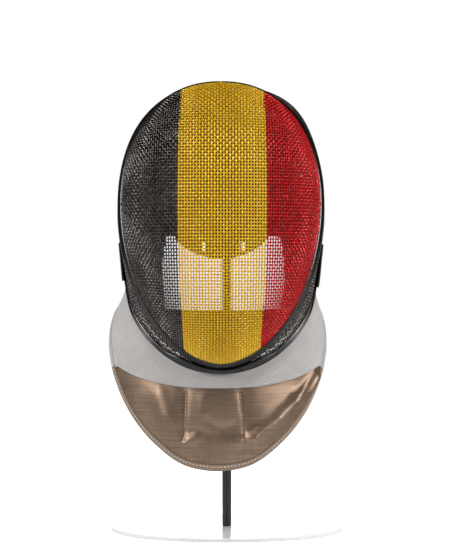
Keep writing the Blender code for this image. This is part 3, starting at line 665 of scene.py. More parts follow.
def grid_piece(name, rows, cloth=None):
    """An open surface through rows of points."""
    wide = len(rows[0])
    faces = []
    for start in range(0, (len(rows) - 1) * wide, wide):
        for here in range(start, start + wide - 1):
            faces.append((here, here + 1, here + wide + 1, here + wide))
    return new_piece(name, skin_mesh(name, rows, faces, cloth))


def facing(piece, outward):
    """Turns all faces over where the first one doesn't face the given way."""
    if piece.data.polygons[0].normal.dot(outward) < 0:
        piece.data.flip_normals()
    return piece


def walled(piece, wall, offset=0.0):
    """Gives an open sheet its thickness."""
    solid = piece.modifiers.new("wall", "SOLIDIFY")
    solid.thickness = wall
    solid.offset = offset
    return made_plain(piece)


def tube_piece(name, sections, closed=True, cloth=None):
    """A closed skin through rings of points, capped at its ends unless it closes on itself."""
    sides = len(sections[0])
    count = len(sections)
    faces = []
    for ring in range(count if closed else count - 1):
        here, after = ring * sides, (ring + 1) % count * sides
        for side in range(sides):
            turn = (side + 1) % sides
            faces.append((here + side, here + turn, after + turn, after + side))
    if not closed:
        faces.append(tuple(range(sides)))
        faces.append(tuple((count - 1) * sides + side for side in range(sides))[::-1])
    mesh = skin_mesh(name, sections, faces, cloth)
    shape = bmesh.new()
    shape.from_mesh(mesh)
    bmesh.ops.recalc_face_normals(shape, faces=shape.faces)
    shape.to_mesh(mesh)
    shape.free()
    return new_piece(name, mesh)


# ---- Geometry Nodes: woven wire and rows of stitches ----
def new_tree(name, inputs):
    """A geometry tree with named inputs; gives the tree, its input node and its output node."""
    tree = bpy.data.node_groups.new(name, "GeometryNodeTree")
    tree.interface.new_socket(name="Geometry", in_out="INPUT", socket_type="NodeSocketGeometry")
    for label, kind in inputs.items():
        tree.interface.new_socket(name=label, in_out="INPUT", socket_type=kind)
    tree.interface.new_socket(name="Geometry", in_out="OUTPUT", socket_type="NodeSocketGeometry")
    return tree, add_node(tree, "NodeGroupInput"), add_node(tree, "NodeGroupOutput")


def end_tree(tree, mesh, finish, result):
    """Ends a tree: real geometry, smooth, with its finish."""
    real = add_node(tree, "GeometryNodeRealizeInstances", {"Geometry": mesh})
    soft = add_node(tree, "GeometryNodeSetShadeSmooth", {"Geometry": real.outputs["Geometry"]})
    coat = {"Geometry": soft.outputs["Geometry"], "Material": finish}
    made = add_node(tree, "GeometryNodeSetMaterial", coat)
    tree.links.new(made.outputs["Geometry"], result.inputs["Geometry"])


def run_tree(piece, tree, values):
    """Runs a tree on a piece with its inputs set by identifier, and keeps the plain mesh."""
    modifier = piece.modifiers.new(tree.name, "NODES")
    modifier.node_group = tree
    for item in tree.interface.items_tree:
        if item.in_out == "INPUT" and item.name in values:
            modifier[item.identifier] = values[item.name]
    return made_plain(piece)


def woven_wire_tree():
    """Wires along a mesh's edges, crimped by each point's out and over attributes."""
    inputs = {
        "Wire diameter": "NodeSocketFloat",
        "Crimp": "NodeSocketFloat",
        "Sides": "NodeSocketInt",
        "Finish": "NodeSocketMaterial",
    }
    tree, given, result = new_tree("woven_wire", inputs)
    out = add_node(tree, "GeometryNodeInputNamedAttribute", {"Name": "out"}, data_type="FLOAT_VECTOR")
    over = add_node(tree, "GeometryNodeInputNamedAttribute", {"Name": "over"}, data_type="FLOAT")
    reach, radius = (
        add_node(
            tree, "ShaderNodeMath", {0: given.outputs["Wire diameter"], 1: factor}, operation="MULTIPLY"
        ).outputs[0]
        for factor in (given.outputs["Crimp"], 0.5)
    )
    signed = add_node(tree, "ShaderNodeMath", {0: reach, 1: over.outputs["Attribute"]}, operation="MULTIPLY")
    lift = {0: out.outputs["Attribute"], "Scale": signed.outputs[0]}
    lifted = add_node(tree, "ShaderNodeVectorMath", lift, operation="SCALE")
    crimp = {"Geometry": given.outputs["Geometry"], "Offset": lifted.outputs["Vector"]}
    crimped = add_node(tree, "GeometryNodeSetPosition", crimp)
    line = add_node(tree, "GeometryNodeMeshToCurve", {"Mesh": crimped.outputs["Geometry"]})
    round_wire = {"Resolution": given.outputs["Sides"], "Radius": radius}
    ring = add_node(tree, "GeometryNodeCurvePrimitiveCircle", round_wire)
    drawn = {"Curve": line.outputs["Curve"], "Profile Curve": ring.outputs["Curve"], "Fill Caps": True}
    wire = add_node(tree, "GeometryNodeCurveToMesh", drawn)
    end_tree(tree, wire.outputs["Mesh"], given.outputs["Finish"], result)
    return tree


def stitch_tree():
    """A row of stitches: a slim bead of thread at every pitch along a mesh's edges."""
    inputs = {
        "Pitch": "NodeSocketFloat",
        "Stitch length": "NodeSocketFloat",
        "Thread diameter": "NodeSocketFloat",
        "Finish": "NodeSocketMaterial",
    }
    tree, given, result = new_tree("row_of_stitches", inputs)
    line = add_node(tree, "GeometryNodeMeshToCurve", {"Mesh": given.outputs["Geometry"]})
    stops = {"Curve": line.outputs["Curve"], "Length": given.outputs["Pitch"]}
    evenly = add_node(tree, "GeometryNodeResampleCurve", stops, mode="LENGTH")
    bead = add_node(tree, "GeometryNodeMeshUVSphere", {"Segments": 6, "Rings": 5, "Radius": 0.5})
    along = {"Vector": add_node(tree, "GeometryNodeInputTangent").outputs["Tangent"]}
    turn = add_node(tree, "FunctionNodeAlignRotationToVector", along, axis="X")
    thread = given.outputs["Thread diameter"]
    size = add_node(
        tree, "ShaderNodeCombineXYZ", {"X": given.outputs["Stitch length"], "Y": thread, "Z": thread}
    )
    laid = {
        "Points": evenly.outputs["Curve"],
        "Instance": bead.outputs["Mesh"],
        "Rotation": turn.outputs["Rotation"],
        "Scale": size.outputs["Vector"],
    }
    row = add_node(tree, "GeometryNodeInstanceOnPoints", laid)
    end_tree(tree, row.outputs["Instances"], given.outputs["Finish"], result)
    return tree


WOVEN_WIRE = woven_wire_tree()
STITCHES = stitch_tree()


def line_piece(name, lines):
    """A mesh of edges along lines of points."""
    points, edges = [], []
    for line in lines:
        edges += [(len(points) + step, len(points) + step + 1) for step in range(len(line) - 1)]
        points += [tuple(point) for point in line]
    mesh = bpy.data.meshes.new(name)
    mesh.from_pydata(points, edges, [])
    return new_piece(name, mesh)


Stitch = namedtuple("Stitch", "pitch length thread")
TAB_STITCH = Stitch(0.0026, 0.0017, 0.0009)
SEAM_STITCH = Stitch(0.0026, 0.0019, 0.0007)
DART_STITCH = Stitch(0.0032, 0.0019, 0.0009)
BEIGE_HEM_STITCH = Stitch(0.0034, 0.0021, 0.0011)
WHITE_HEM_STITCH = Stitch(0.0030, 0.0020, 0.0006)


def sewn_row(name, lines, finish, stitch):
    """Stitches along lines on the mask, as one piece."""
    sizes = {"Pitch": stitch.pitch, "Stitch length": stitch.length, "Thread diameter": stitch.thread}
    piece = line_piece(name, lines)
    run_tree(piece, STITCHES, {**sizes, "Finish": finish})
    return finished(shifted(piece))


# ---- Woven wire of the face ----
# Wire of 1.0 mm under a thick coat of enamel, woven about 3 mm apart and pressed into the dome
WIRE_DIAMETER = 0.00145
WIRE_SIDES = 5
CRIMP = 0.42
# Each arm of the net's middle cross: axis, side, crossings, pitch at the middle as seen from the
# front, and the reach and power by which that pitch falls off toward the rim
NET_ARMS = (
    (0, 1, 60, 0.00292, 0.106, 2),
    (0, -1, 60, 0.00292, 0.106, 2),
    (2, 1, 70, 0.00315, 0.1385, 2),
    (2, -1, 70, 0.00315, 0.154, 3),
)
MOST_STRETCH = 1.45
NET_COLUMNS = 60
NET_ROWS = 70
WIRE_EMBED = 0.0012
NEWTON_STEPS = 7
NET_STEP = 1e-6
NET_ERROR = 1e-6
CREST = 0.25
LEAST_STEP = 0.25
STRIPE_HALVINGS = 12
TAPER_LIMIT = 1.2


def dome(points):
    """Zero on the face's surface, below zero inside it; a row for each point."""
    across, depth, height = points[:, 0], points[:, 1], points[:, 2]
    up = height - WIDEST_HEIGHT
    rise = np.where(up > 0, CROWN_RISE, CHIN_DROP)
    power = np.where(up > 0, CROWN_POWER, CHIN_POWER)
    reach = (np.abs(across) / FACE_HALF_WIDTH) ** power + (np.abs(up) / rise) ** power
    cut = 1 - DOME_CHIN_CUT * np.minimum(np.maximum(-up, 0) / CHIN_DROP, 1) ** 2
    foot = np.sqrt(1 - cut)
    out = (rim_depth(height) - depth) / DOME_DEPTH * (1 - foot) + foot
    return cut * reach ** (2 / power) + out**2 - 1


def dome_slope(points):
    """Gradient of the dome's measure at each point."""
    slopes = []
    for axis in range(3):
        step = np.zeros(3)
        step[axis] = NET_STEP
        slopes.append((dome(points + step) - dome(points - step)) / (2 * NET_STEP))
    return np.stack(slopes, axis=1)


def settle(guess, conditions):
    """Moves points on to the dome until they also meet two more conditions, by Newton's method."""
    here = guess.copy()
    for _ in range(NEWTON_STEPS):
        values, slopes = [dome(here)], [dome_slope(here)]
        for condition in conditions:
            value, slope = condition(here)
            values.append(value)
            slopes.append(slope)
        step = np.linalg.solve(np.stack(slopes, axis=1), np.stack(values, axis=1)[..., None])
        here -= step[..., 0]
    return here


def at_distance(centres, distance):
    return lambda here: (((here - centres) ** 2).sum(axis=1) - distance**2, 2 * (here - centres))


def on_plane(axis, value):
    slope = np.zeros(3)
    slope[axis] = 1
    return lambda here: (here[:, axis] - value, np.tile(slope, (len(here), 1)))


def face_net():
    """Crossings of a woven net laid on the dome from its middle: a cross first, then its quarters."""
    net = np.full((2 * NET_COLUMNS + 1, 2 * NET_ROWS + 1, 3), np.nan)
    net[NET_COLUMNS, NET_ROWS] = 0, rim_depth(WIDEST_HEIGHT) - DOME_DEPTH, WIDEST_HEIGHT
    steps = {(axis, side): lay_arm(net, axis, side, *rest) for axis, side, *rest in NET_ARMS}
    for side_across in (1, -1):
        for side_up in (1, -1):
            fill_quarter(net, side_across, side_up, steps[0, side_across], steps[2, side_up])
    return net


def lay_arm(net, axis, side, count, pitch, reach, power):
    """Lays one arm of the net's middle cross; gives the length of each of its steps."""
    middle = net[NET_COLUMNS, NET_ROWS]
    level = on_plane(2 - axis, middle[2 - axis])
    here = middle[None].copy()
    before = here.copy()
    before[0, axis] -= side * pitch
    lengths = [pitch]
    for step in range(1, count + 1):
        out = min(abs(here[0, axis] - middle[axis]) / reach, 1)
        ahead = here[0, axis] + side * pitch * (1 - out**power) ** 0.5
        after = settle(2 * here - before, [on_plane(axis, ahead), level])
        # Where the dome turns away, the wires can't be pulled further apart
        if not np.linalg.norm(after - here) < pitch * MOST_STRETCH:
            after = settle(2 * here - before, [at_distance(here, pitch * MOST_STRETCH), level])
        lengths.append(np.linalg.norm(after - here))
        before, here = here, after
        if not here[0, 1] < rim_depth(here[0, 2]) + 2 * pitch:
            lengths.pop()
            break
        if axis == 0:
            net[NET_COLUMNS + side * step, NET_ROWS] = here[0]
        else:
            net[NET_COLUMNS, NET_ROWS + side * step] = here[0]
    lengths += [lengths[-1]] * (count + 1 - len(lengths))
    return np.array(lengths)


def fill_quarter(net, side_across, side_up, across_steps, up_steps):
    """Lays the net's crossings in one quarter of the dome, diagonal by diagonal."""
    for diagonal in range(2, NET_COLUMNS + NET_ROWS + 1):
        columns = np.arange(max(1, diagonal - NET_ROWS), min(NET_COLUMNS, diagonal - 1) + 1)
        rows = diagonal - columns
        across, up = NET_COLUMNS + side_across * columns, NET_ROWS + side_up * rows
        below, beside = net[across, up - side_up], net[across - side_across, up]
        corner = net[across - side_across, up - side_up]
        known = ~np.isnan(below + beside + corner).any(axis=1)
        if not known.any():
            continue
        parts = (across, up, below, beside, corner, up_steps[rows], across_steps[columns])
        across, up, below, beside, corner, up_step, across_step = (part[known] for part in parts)
        reaches = [at_distance(below, up_step), at_distance(beside, across_step)]
        laid = settle(below + beside - corner, reaches)
        away = np.linalg.norm(laid - corner, axis=1)
        good = (np.abs(dome(laid)) < NET_ERROR * 100) & (away > across_step * LEAST_STEP)
        good &= laid[:, 1] < rim_depth(laid[:, 2]) + 2 * up_step
        net[across[good], up[good]] = laid[good]


def stripe_edge(height, side):
    """How far out the middle stripe's edge on one side lies at a height."""
    pole = 1 if height > WIDEST_HEIGHT else -1
    taper = STRIPE_CROWN_TAPER if pole > 0 else STRIPE_CHIN_TAPER
    shift = side * STRIPE_SHIFT
    end = rim_height(STRIPE_HALF - taper + shift, pole)
    share = min((height - WIDEST_HEIGHT) / (end - WIDEST_HEIGHT), TAPER_LIMIT)
    return STRIPE_HALF - taper * share**2 + shift


def stripe_of(point):
    """0 in the black side, 1 in the middle stripe, 2 in the red side."""
    if point[0] < -stripe_edge(point[2], -1):
        return 0
    return 2 if point[0] > stripe_edge(point[2], 1) else 1


def wire_points(crossings, first_sign):
    """Crest points of one wire: two beside each crossing, over or under it by turns."""
    outs = dome_slope(crossings)
    outs /= np.linalg.norm(outs, axis=1)[:, None]
    points = []
    for index in range(len(crossings) - 1):
        here, after = crossings[index], crossings[index + 1]
        sign = first_sign if index % 2 == 0 else -first_sign
        points.append((here + (after - here) * CREST, outs[index], sign))
        points.append((after + (here - after) * CREST, outs[index + 1], -sign))
    return points


def cut_between(a, b, share):
    """Point of a wire part of the way from one of its points to the next."""
    return tuple(x + (y - x) * share for x, y in zip(a, b))


def inside_rim(points):
    """The stretch of a wire up to where its ends are buried in the seam band."""
    depth = [point[0][1] - rim_depth(point[0][2]) - WIRE_EMBED for point in points]
    inside = [index for index, value in enumerate(depth) if value < 0]
    if len(inside) < 2:
        return []
    first, last = inside[0], inside[-1]
    kept = points[first : last + 1]
    if first > 0:
        share = depth[first] / (depth[first] - depth[first - 1])
        kept.insert(0, cut_between(points[first], points[first - 1], share))
    if last < len(points) - 1:
        share = depth[last] / (depth[last] - depth[last + 1])
        kept.append(cut_between(points[last], points[last + 1], share))
    return kept


def by_stripe(points):
    """Cuts a wire where it passes from one stripe to the next: (stripe, points) pairs."""
    runs, current = [], [points[0]]
    stripe = stripe_of(points[0][0])
    for before, after in zip(points, points[1:]):
        following = stripe_of(after[0])
        if following != stripe:
            low, high = 0, 1
            for _ in range(STRIPE_HALVINGS):
                middle = (low + high) / 2
                if stripe_of(cut_between(before, after, middle)[0]) == stripe:
                    low = middle
                else:
                    high = middle
            border = cut_between(before, after, low)
            runs.append((stripe, current + [border]))
            current, stripe = [border], following
        current.append(after)
    runs.append((stripe, current))
    return [(stripe, run) for stripe, run in runs if len(run) > 1]


def wire_piece(name, runs, finish):
    """One piece of woven wire from runs of (point, outward, over) rows."""
    piece = line_piece(name, [[row[0] for row in run] for run in runs])
    rows = [row for run in runs for row in run]
    out = piece.data.attributes.new("out", "FLOAT_VECTOR", "POINT")
    out.data.foreach_set("vector", np.array([row[1] for row in rows], np.float32).ravel())
    over = piece.data.attributes.new("over", "FLOAT", "POINT")
    over.data.foreach_set("value", np.array([row[2] for row in rows], np.float32))
    values = {"Wire diameter": WIRE_DIAMETER, "Crimp": CRIMP, "Sides": WIRE_SIDES, "Finish": finish}
    run_tree(piece, WOVEN_WIRE, values)
    return shifted(piece)


def build_face_wires():
    net = face_net()
    runs = {0: [], 1: [], 2: []}
    for lines, axis in ((range(net.shape[0]), 0), (range(net.shape[1]), 1)):
        for line in lines:
            crossings = net[line] if axis == 0 else net[:, line]
            known = np.flatnonzero(~np.isnan(crossings[:, 0]))
            if len(known) < 3:
                continue
            start = known[0]
            sign = (1 if (line + start) % 2 == 0 else -1) * (1 if axis == 0 else -1)
            kept = inside_rim(wire_points(crossings[start : known[-1] + 1], sign))
            if len(kept) > 1:
                for stripe, run in by_stripe(kept):
                    runs[stripe].append(run)
    finishes = (
        ("face_wires_black", BLACK_ENAMEL, "black_wire"),
        ("face_wires_yellow", YELLOW_ENAMEL, "yellow_wire"),
        ("face_wires_red", RED_ENAMEL, "red_wire"),
    )
    for stripe, (name, finish, slot_name) in enumerate(finishes):
        finished(wire_piece(name, runs[stripe], finish), ["face_mesh"])


# ---- Woven wire of the sides, bent from a straight strip ----
SIDE_PITCH = 0.0031
SIDE_STEP = 0.5
SIDE_WIRE_END = 163


def even_angles(first, last, pitch):
    """Angles at which the seam's edge has been followed by one more pitch."""
    angles, total = [first], 0
    before = seam_end(first)
    angle = first
    while angle < last:
        angle += SIDE_STEP
        here = seam_end(angle)
        run = (here - before).length
        while total + run > pitch:
            share = (pitch - total) / run
            angles.append(angle - SIDE_STEP * (1 - share))
            before = before.lerp(here, share)
            run = (here - before).length
            total = 0
        total += run
        before = here
    return angles


def build_side_wires():
    angles = even_angles(-SIDE_WIRE_END, SIDE_WIRE_END, SIDE_PITCH)
    limits = []
    for angle in angles:
        length = side_length(angle)
        limits.append((length, -WIRE_EMBED / length, trim_share(angle) + WIRE_EMBED / length))
    runs = []
    for index, angle in enumerate(angles):
        length, first, last = limits[index]
        points = []
        count = int(last * length / SIDE_PITCH) + 1
        for step in range(count + 1):
            for crest in (-CREST, CREST):
                share = min(max((step + crest) * SIDE_PITCH / length, first), last)
                sign = 1 if (index + step) % 2 == 0 else -1
                here = side_wall(angle, share)
                if not points or (here - points[-1][0]).length > SIDE_PITCH / 8:
                    points.append((here, tuple(side_normal(angle, share)), sign))
        runs.append(points)
    most = int(max(last * length for length, _, last in limits) / SIDE_PITCH) + 1
    for step in range(1, most + 1):
        points = []
        for index, angle in enumerate(angles):
            length, _, last = limits[index]
            share = step * SIDE_PITCH / length
            if share > last:
                if len(points) > 2:
                    runs.append(points)
                points = []
                continue
            sign = -1 if (index + step) % 2 == 0 else 1
            half_step = (angles[min(index + 1, len(angles) - 1)] - angles[max(index - 1, 0)]) / 2 * CREST
            out = tuple(side_normal(angle, share))
            for crest in (-half_step, half_step):
                points.append((side_wall(angle + crest, share), out, sign))
        if len(points) > 2:
            runs.append(points)
    runs = [[(tuple(row[0]), row[1], row[2]) for row in run] for run in runs]
    finished(wire_piece("side_wires", runs, BLACK_ENAMEL), ["side_mesh"])


# ---- Bands of vinyl over the wire's edges ----
BAND_LAP = 0.0020
LIP_DEPTH = 0.0009
RING_STATIONS = 288


def channel_section(across_span, wall, lips):
    """Section of a vinyl channel: flat sides, rounded edges and a raised lip along each edge."""
    half = wall / 2
    width = across_span
    bulge = half * 0.9
    return [
        (bulge * 0.35, half * 0.55),
        (bulge, half + lips),
        (bulge * 2.0, half + lips * 0.2),
        (width * 0.5, half),
        (width - bulge * 2.0, half + lips * 0.2),
        (width - bulge, half + lips),
        (width - bulge * 0.35, half * 0.55),
        (width, 0),
        (width - bulge * 0.35, -half * 0.6),
        (width - bulge, -half),
        (width * 0.5, -half),
        (bulge, -half),
        (bulge * 0.35, -half * 0.6),
        (0, 0),
    ]


def build_front_band():
    """The channel that grips the face's edge."""
    section = channel_section(BAND_WIDTH + BAND_LAP, BAND_WALL, LIP_DEPTH)
    rings = []
    for station in range(RING_STATIONS):
        start, _, across, outward = seam_frame(360 * station / RING_STATIONS - 180)
        edge = start - across * BAND_LAP
        rings.append([edge + across * run + outward * lift for run, lift in section])
    piece = tube_piece("front_band", rings)
    finished(shifted(piece), ["seam_band"], BLACK_VINYL)


def build_outer_trim():
    """The channel round the mask's outer edge."""
    rings = []
    for station in range(RING_STATIONS):
        angle = 360 * station / RING_STATIONS - 180
        first = trim_share(angle)
        length = side_length(angle) * (1 - first)
        section = channel_section(length, TRIM_WALL, LIP_DEPTH)
        ring = []
        for run, lift in section:
            share = first + (1 - first) * run / length
            ring.append(side_wall(angle, share) + side_normal(angle, share) * lift)
        rings.append(ring)
    piece = tube_piece("outer_trim", rings)
    finished(shifted(piece), ["edge_trim"], BLACK_VINYL)


# ---- Tabs at the ears ----
TAB_STITCH_INSET = 0.0016
TAB_RIB = 0.0029
TAB_RIB_LIFT = 0.00022
TAB_RIB_SLANT = 0.6
TAB_EDGE_DROP = 0.0005
TAB_CLOTH = TAB_WALL * 0.75
TAB_STITCH_END = 0.04


def tab_point(angle, back, lift):
    """Point over the trim at an ear, so far back from the outer edge, raised by lift."""
    share = 1 - back / side_length(angle)
    return side_wall(angle, share) + side_normal(angle, share) * lift


def build_tabs():
    """Strips of braided webbing along the trim, each sewn down near its edges."""
    middle_lift = TRIM_WALL / 2 + BAND_CROWN + SEAT_GAP + TAB_WALL / 2
    lines = []
    for name, (near, far) in EAR_TABS.items():
        run = (outer_edge(far) - outer_edge(near)).length
        rows, cloth = [], []
        for u in spread(0, 1, 72):
            angle = near + (far - near) * u
            row, flat = [], []
            for v in spread(-0.5, 0.5, 12):
                ribs = math.sin(2 * math.pi * (u * run + abs(v) * TAB_WIDTH * TAB_RIB_SLANT) / TAB_RIB)
                lift = middle_lift + TAB_RIB_LIFT * ribs * (1 - (2 * v) ** 4) - TAB_EDGE_DROP * (2 * v) ** 6
                row.append(tab_point(angle, TAB_WIDTH * (0.5 + v) - TAB_OVERHANG, lift))
                flat.append((run * u, TAB_WIDTH * v))
            rows.append(row)
            cloth.append(flat)
        outward = side_normal((near + far) / 2, 0.9)
        piece = facing(grid_piece(name + "_webbing", rows, cloth=cloth), outward)
        walled(piece, TAB_CLOTH)
        finished(shifted(piece), [name], BLACK_WEBBING)
        top = middle_lift + TAB_CLOTH / 2
        inset = (far - near) * TAB_STITCH_END
        stops = spread(near + inset, far - inset, 30)
        inner, outer = TAB_WIDTH - TAB_STITCH_INSET - TAB_OVERHANG, TAB_STITCH_INSET - TAB_OVERHANG
        around = [tab_point(angle, inner, top) for angle in stops]
        around += [tab_point(angle, outer, top) for angle in stops[::-1]]
        lines.append(around + around[:1])
    # The stitches' pale thread is painted highlight on the dark webbing
    sewn_row("tab_stitches", lines, GLINT_GREY_THREAD, TAB_STITCH)


# ---- Bib ----
BIB_COLUMNS = 300
WHITE_ROWS = 22
LAME_ROWS = 60
CLOTH_WALL = 0.0022
LAME_LAP = 0.0025
LAME_PROUD = 0.0004
RIPPLE_PITCH = 0.0034
RIPPLE_LIFT = 0.00032
RIPPLE_FADE = 0.008
# Where the ripples die away: toward the chin, toward the ear and down the cloth, over these spans
RIPPLE_CHIN, RIPPLE_CHIN_SPAN = 172, 12
RIPPLE_EAR, RIPPLE_EAR_SPAN = 128, 14
RIPPLE_LAST, RIPPLE_LAST_SPAN = 0.75, 0.2
RUMPLE_SIZE = 0.030
RUMPLE_LIFT = 0.0006
FINE_RUMPLE_SIZE = 0.011
FINE_RUMPLE_SHARE = 0.25
RUN_SHARE = 0.6
LEAST_LAME = 0.02
STITCH_STATIONS = 400
HEM_STITCH_INSET = 0.0045
# The tape's sides that carry the painted shade of its outer fold
SHADED_FOLD_SIDES = (5, 6)


def cloth_end(angle):
    return 1 - (BINDING_WIDTH + 2 * GAP) / bib_length(angle)


def rumple(point):
    """Small unevenness of hanging cloth."""
    fine = noise.noise(point / FINE_RUMPLE_SIZE) * RUMPLE_LIFT * FINE_RUMPLE_SHARE
    return noise.noise(point / RUMPLE_SIZE) * RUMPLE_LIFT + fine


def cloth_point(angle, share, lift=0.0):
    """Point of the bib's cloth with its creases, raised by lift."""
    _, _, outward, _ = bib_frame(angle)
    flat = bib_point(angle, share)
    free = ease(8 * share * (1 - share))
    ripples = math.sin(share * bib_length(angle) / RIPPLE_PITCH * 2 * math.pi)
    side = ease((RIPPLE_CHIN - angle) / RIPPLE_CHIN_SPAN) * ease((angle - RIPPLE_EAR) / RIPPLE_EAR_SPAN)
    side *= ease((RIPPLE_LAST - share) / RIPPLE_LAST_SPAN)
    side *= ease(above_seam(angle, share) / RIPPLE_FADE)
    own = fold_lift(CREASES, flat.x, flat.z) + rumple(flat) + RIPPLE_LIFT * ripples * side
    return flat + outward * (own * free + lift)


def bib_runs():
    """How far along the hem each angle lies, in metres from the bib's middle."""
    angles = spread(BIB_START_ANGLE, 360 - BIB_START_ANGLE, BIB_COLUMNS)
    runs, total = [], 0
    before = None
    for angle in angles:
        here = bib_point(angle, RUN_SHARE)
        total += (here - before).length if before else 0
        before = here
        runs.append(total)
    middle = total / 2
    return angles, [run - middle for run in runs]


def build_bib():
    angles, runs = bib_runs()
    white, white_cloth, lame, lame_cloth = [], [], [], []
    for angle, run in zip(angles, runs):
        last = cloth_end(angle)
        end = seam_share(angle, last)
        length = bib_length(angle)
        rows = spread(0, end, WHITE_ROWS)
        white.append([cloth_point(angle, share) for share in rows])
        white_cloth.append([(run, share * length) for share in rows])
        if end < last - LEAST_LAME:
            rows = spread(end - LAME_LAP / length, last, LAME_ROWS)
            points = [cloth_point(angle, share, LAME_PROUD) for share in rows]
            lame.append(points)
            lame_cloth.append([(run, -point.z) for point in points])
    front = Vector((0, -1, 0))
    upper = facing(grid_piece("bib_white_cloth", white, cloth=white_cloth), front)
    walled(upper, CLOTH_WALL)
    finished(shifted(upper), ["bib_upper"], WHITE_COTTON)
    lower = facing(grid_piece("bib_metallic_cloth", lame, cloth=lame_cloth), front)
    walled(lower, CLOTH_WALL)
    finished(shifted(lower), ["bib_lame"], LAME)
    sizes = []
    for rows, cloth in ((white, white_cloth), (lame, lame_cloth)):
        wide = cloth[-1][0][0] - cloth[0][0][0]
        long = max((row[-1] - row[0]).length for row in rows)
        sizes.append(((wide, long), surface_area(rows)))
    return (upper, lower), sizes


# The folded tape's section: how far out from the cloth's end, and the height as a share of half its wall
TAPE_SECTION = [
    (0.0, 0.50),
    (0.0011, 0.80),
    (0.0028, 0.78),
    (0.0048, 0.86),
    (0.0060, 0.74),
    (0.0064, 0.50),
    (0.0070, 0.15),
    (0.0070, -0.25),
    (0.0062, -0.70),
    (0.0048, -0.86),
    (0.0011, -0.80),
    (0.0, -0.50),
]
TAPE_PUCKER = 0.10
TAPE_PUCKER_PITCH = 0.0032
TAPE_SIDE_RUN = 0.0016


def build_hem_tape():
    """Tape folded round the bib's free edge: white beside the cotton, beige beside the lame, with painted
    shade in dark grey along its outer fold.
    """
    angles, runs = bib_runs()
    section = [(across, BINDING_WALL / 2 * share) for across, share in TAPE_SECTION]
    rings, cloth, whites = [], [], []
    for angle, run in zip(angles, runs):
        _, _, outward, _ = bib_frame(angle)
        length = bib_length(angle)
        ring = []
        for across, lift in section:
            wave = math.sin(run / TAPE_PUCKER_PITCH * 2 * math.pi)
            pucker = 1 + TAPE_PUCKER * wave * (1 if lift > 0 else 0.2)
            here = cloth_point(angle, 1 - (BINDING_WIDTH - across) / length)
            ring.append(here + outward * lift * pucker)
        rings.append(ring)
        cloth.append([(run, index * TAPE_SIDE_RUN) for index in range(len(section))])
        whites.append(above_seam(angle, 1 - BINDING_WIDTH / length) > 0)
    piece = tube_piece("hem_tape", rings, closed=False, cloth=cloth)
    for finish in (BEIGE_TAPE, WHITE_TAPE, SHADED_TAPE_EDGE):
        piece.data.materials.append(finish)
    sides = len(section)
    for face in piece.data.polygons:
        ring, side = divmod(min(face.vertices), sides)
        face.material_index = 2 if side in SHADED_FOLD_SIDES else 1 if whites[ring] else 0
    finished(shifted(piece), ["bib_binding"])
    return piece


def surface_area(rows):
    """Area of the surface through rows of points."""
    total = 0
    for row, other in zip(rows, rows[1:]):
        for a, b, c, d in zip(row, row[1:], other[1:], other):
            total += ((c - a).cross(d - b)).length / 2
    return total


def build_bib_stitches():
    """Stitch lines of the seam, the darts and the hem."""
    surface = CLOTH_WALL / 2 + LAME_PROUD
    seam, hem_lame, hem_white = [], [], []
    for angle in spread(BIB_START_ANGLE + 1, 359 - BIB_START_ANGLE, STITCH_STATIONS):
        last = cloth_end(angle)
        end = seam_share(angle, last)
        length = bib_length(angle)
        hem_share = 1 - HEM_STITCH_INSET / length
        point = cloth_point(angle, hem_share, BINDING_WALL / 2 * 0.95)
        if end < last - LEAST_LAME:
            seam.append(cloth_point(angle, end - LAME_LAP * 0.4 / length, surface))
            hem_lame.append(point)
        else:
            hem_white.append(point)
    split = next(i for i, point in enumerate(hem_white) if point.x < 0)
    lines = [hem_white[:split], hem_white[split:]]
    darts = []
    for fold in CREASES[:2]:
        line = []
        for share in spread(0.02, 0.98, 60):
            across = fold.across_a + (fold.across_b - fold.across_a) * share
            height = fold.height_a + (fold.height_b - fold.height_a) * share
            line.append(bib_place(across, height, surface))
        darts.append(line)
    return [
        sewn_row("seam_stitches", [seam], DARK_THREAD, SEAM_STITCH),
        sewn_row("hem_stitches_beige", [hem_lame], PALE_THREAD, BEIGE_HEM_STITCH),
        sewn_row("hem_stitches_white", lines, WHITE_THREAD, WHITE_HEM_STITCH),
        sewn_row("dart_stitches", darts, PALE_THREAD, DART_STITCH),
    ]


def dress_bib():
    """The bib with its tape and stitches."""
    (white, lame), sizes = build_bib()
    tape = build_hem_tape()
    seam, hem_beige, hem_white, darts = build_bib_stitches()


PLACE_STEPS = 12
ANGLE_STEP = 0.2
SHARE_STEP = 0.005


def bib_place(across, height, lift):
    """The bib's cloth at a place seen from the front."""
    angle, share = 180 - math.degrees(math.atan2(across, 0.2)), 0.8
    for _ in range(PLACE_STEPS):
        here = cloth_point(angle, share, lift)
        wide = cloth_point(angle + ANGLE_STEP, share, lift) - here
        deep = cloth_point(angle, share + SHARE_STEP, lift) - here
        fault = Vector((across - here.x, height - here.z))
        det = wide.x * deep.z - wide.z * deep.x
        angle += ANGLE_STEP * (fault.x * deep.z - fault.y * deep.x) / det
        share += SHARE_STEP * (wide.x * fault.y - wide.z * fault.x) / det
    return cloth_point(angle, share, lift)


# ---- Padding, blown up as cloth round its foam ----
VOXEL = 0.0034
PAD_SHRINK = 0.0007
PAD_REACH = 0.0035
PAD_FRAMES = 20
PAD_COVER = {
    "use_pressure": True,
    "uniform_pressure_force": 4.0,
    "quality": 6,
    "mass": 0.3,
    "tension_stiffness": 15,
    "compression_stiffness": 15,
    "bending_stiffness": 2,
}
PADS = {
    "crown_pad": "crown_cushion",
    "cheek_pad_left": "cheek_cushion_left",
    "cheek_pad_right": "cheek_cushion_right",
    "chin_pad": "chin_cushion",
}


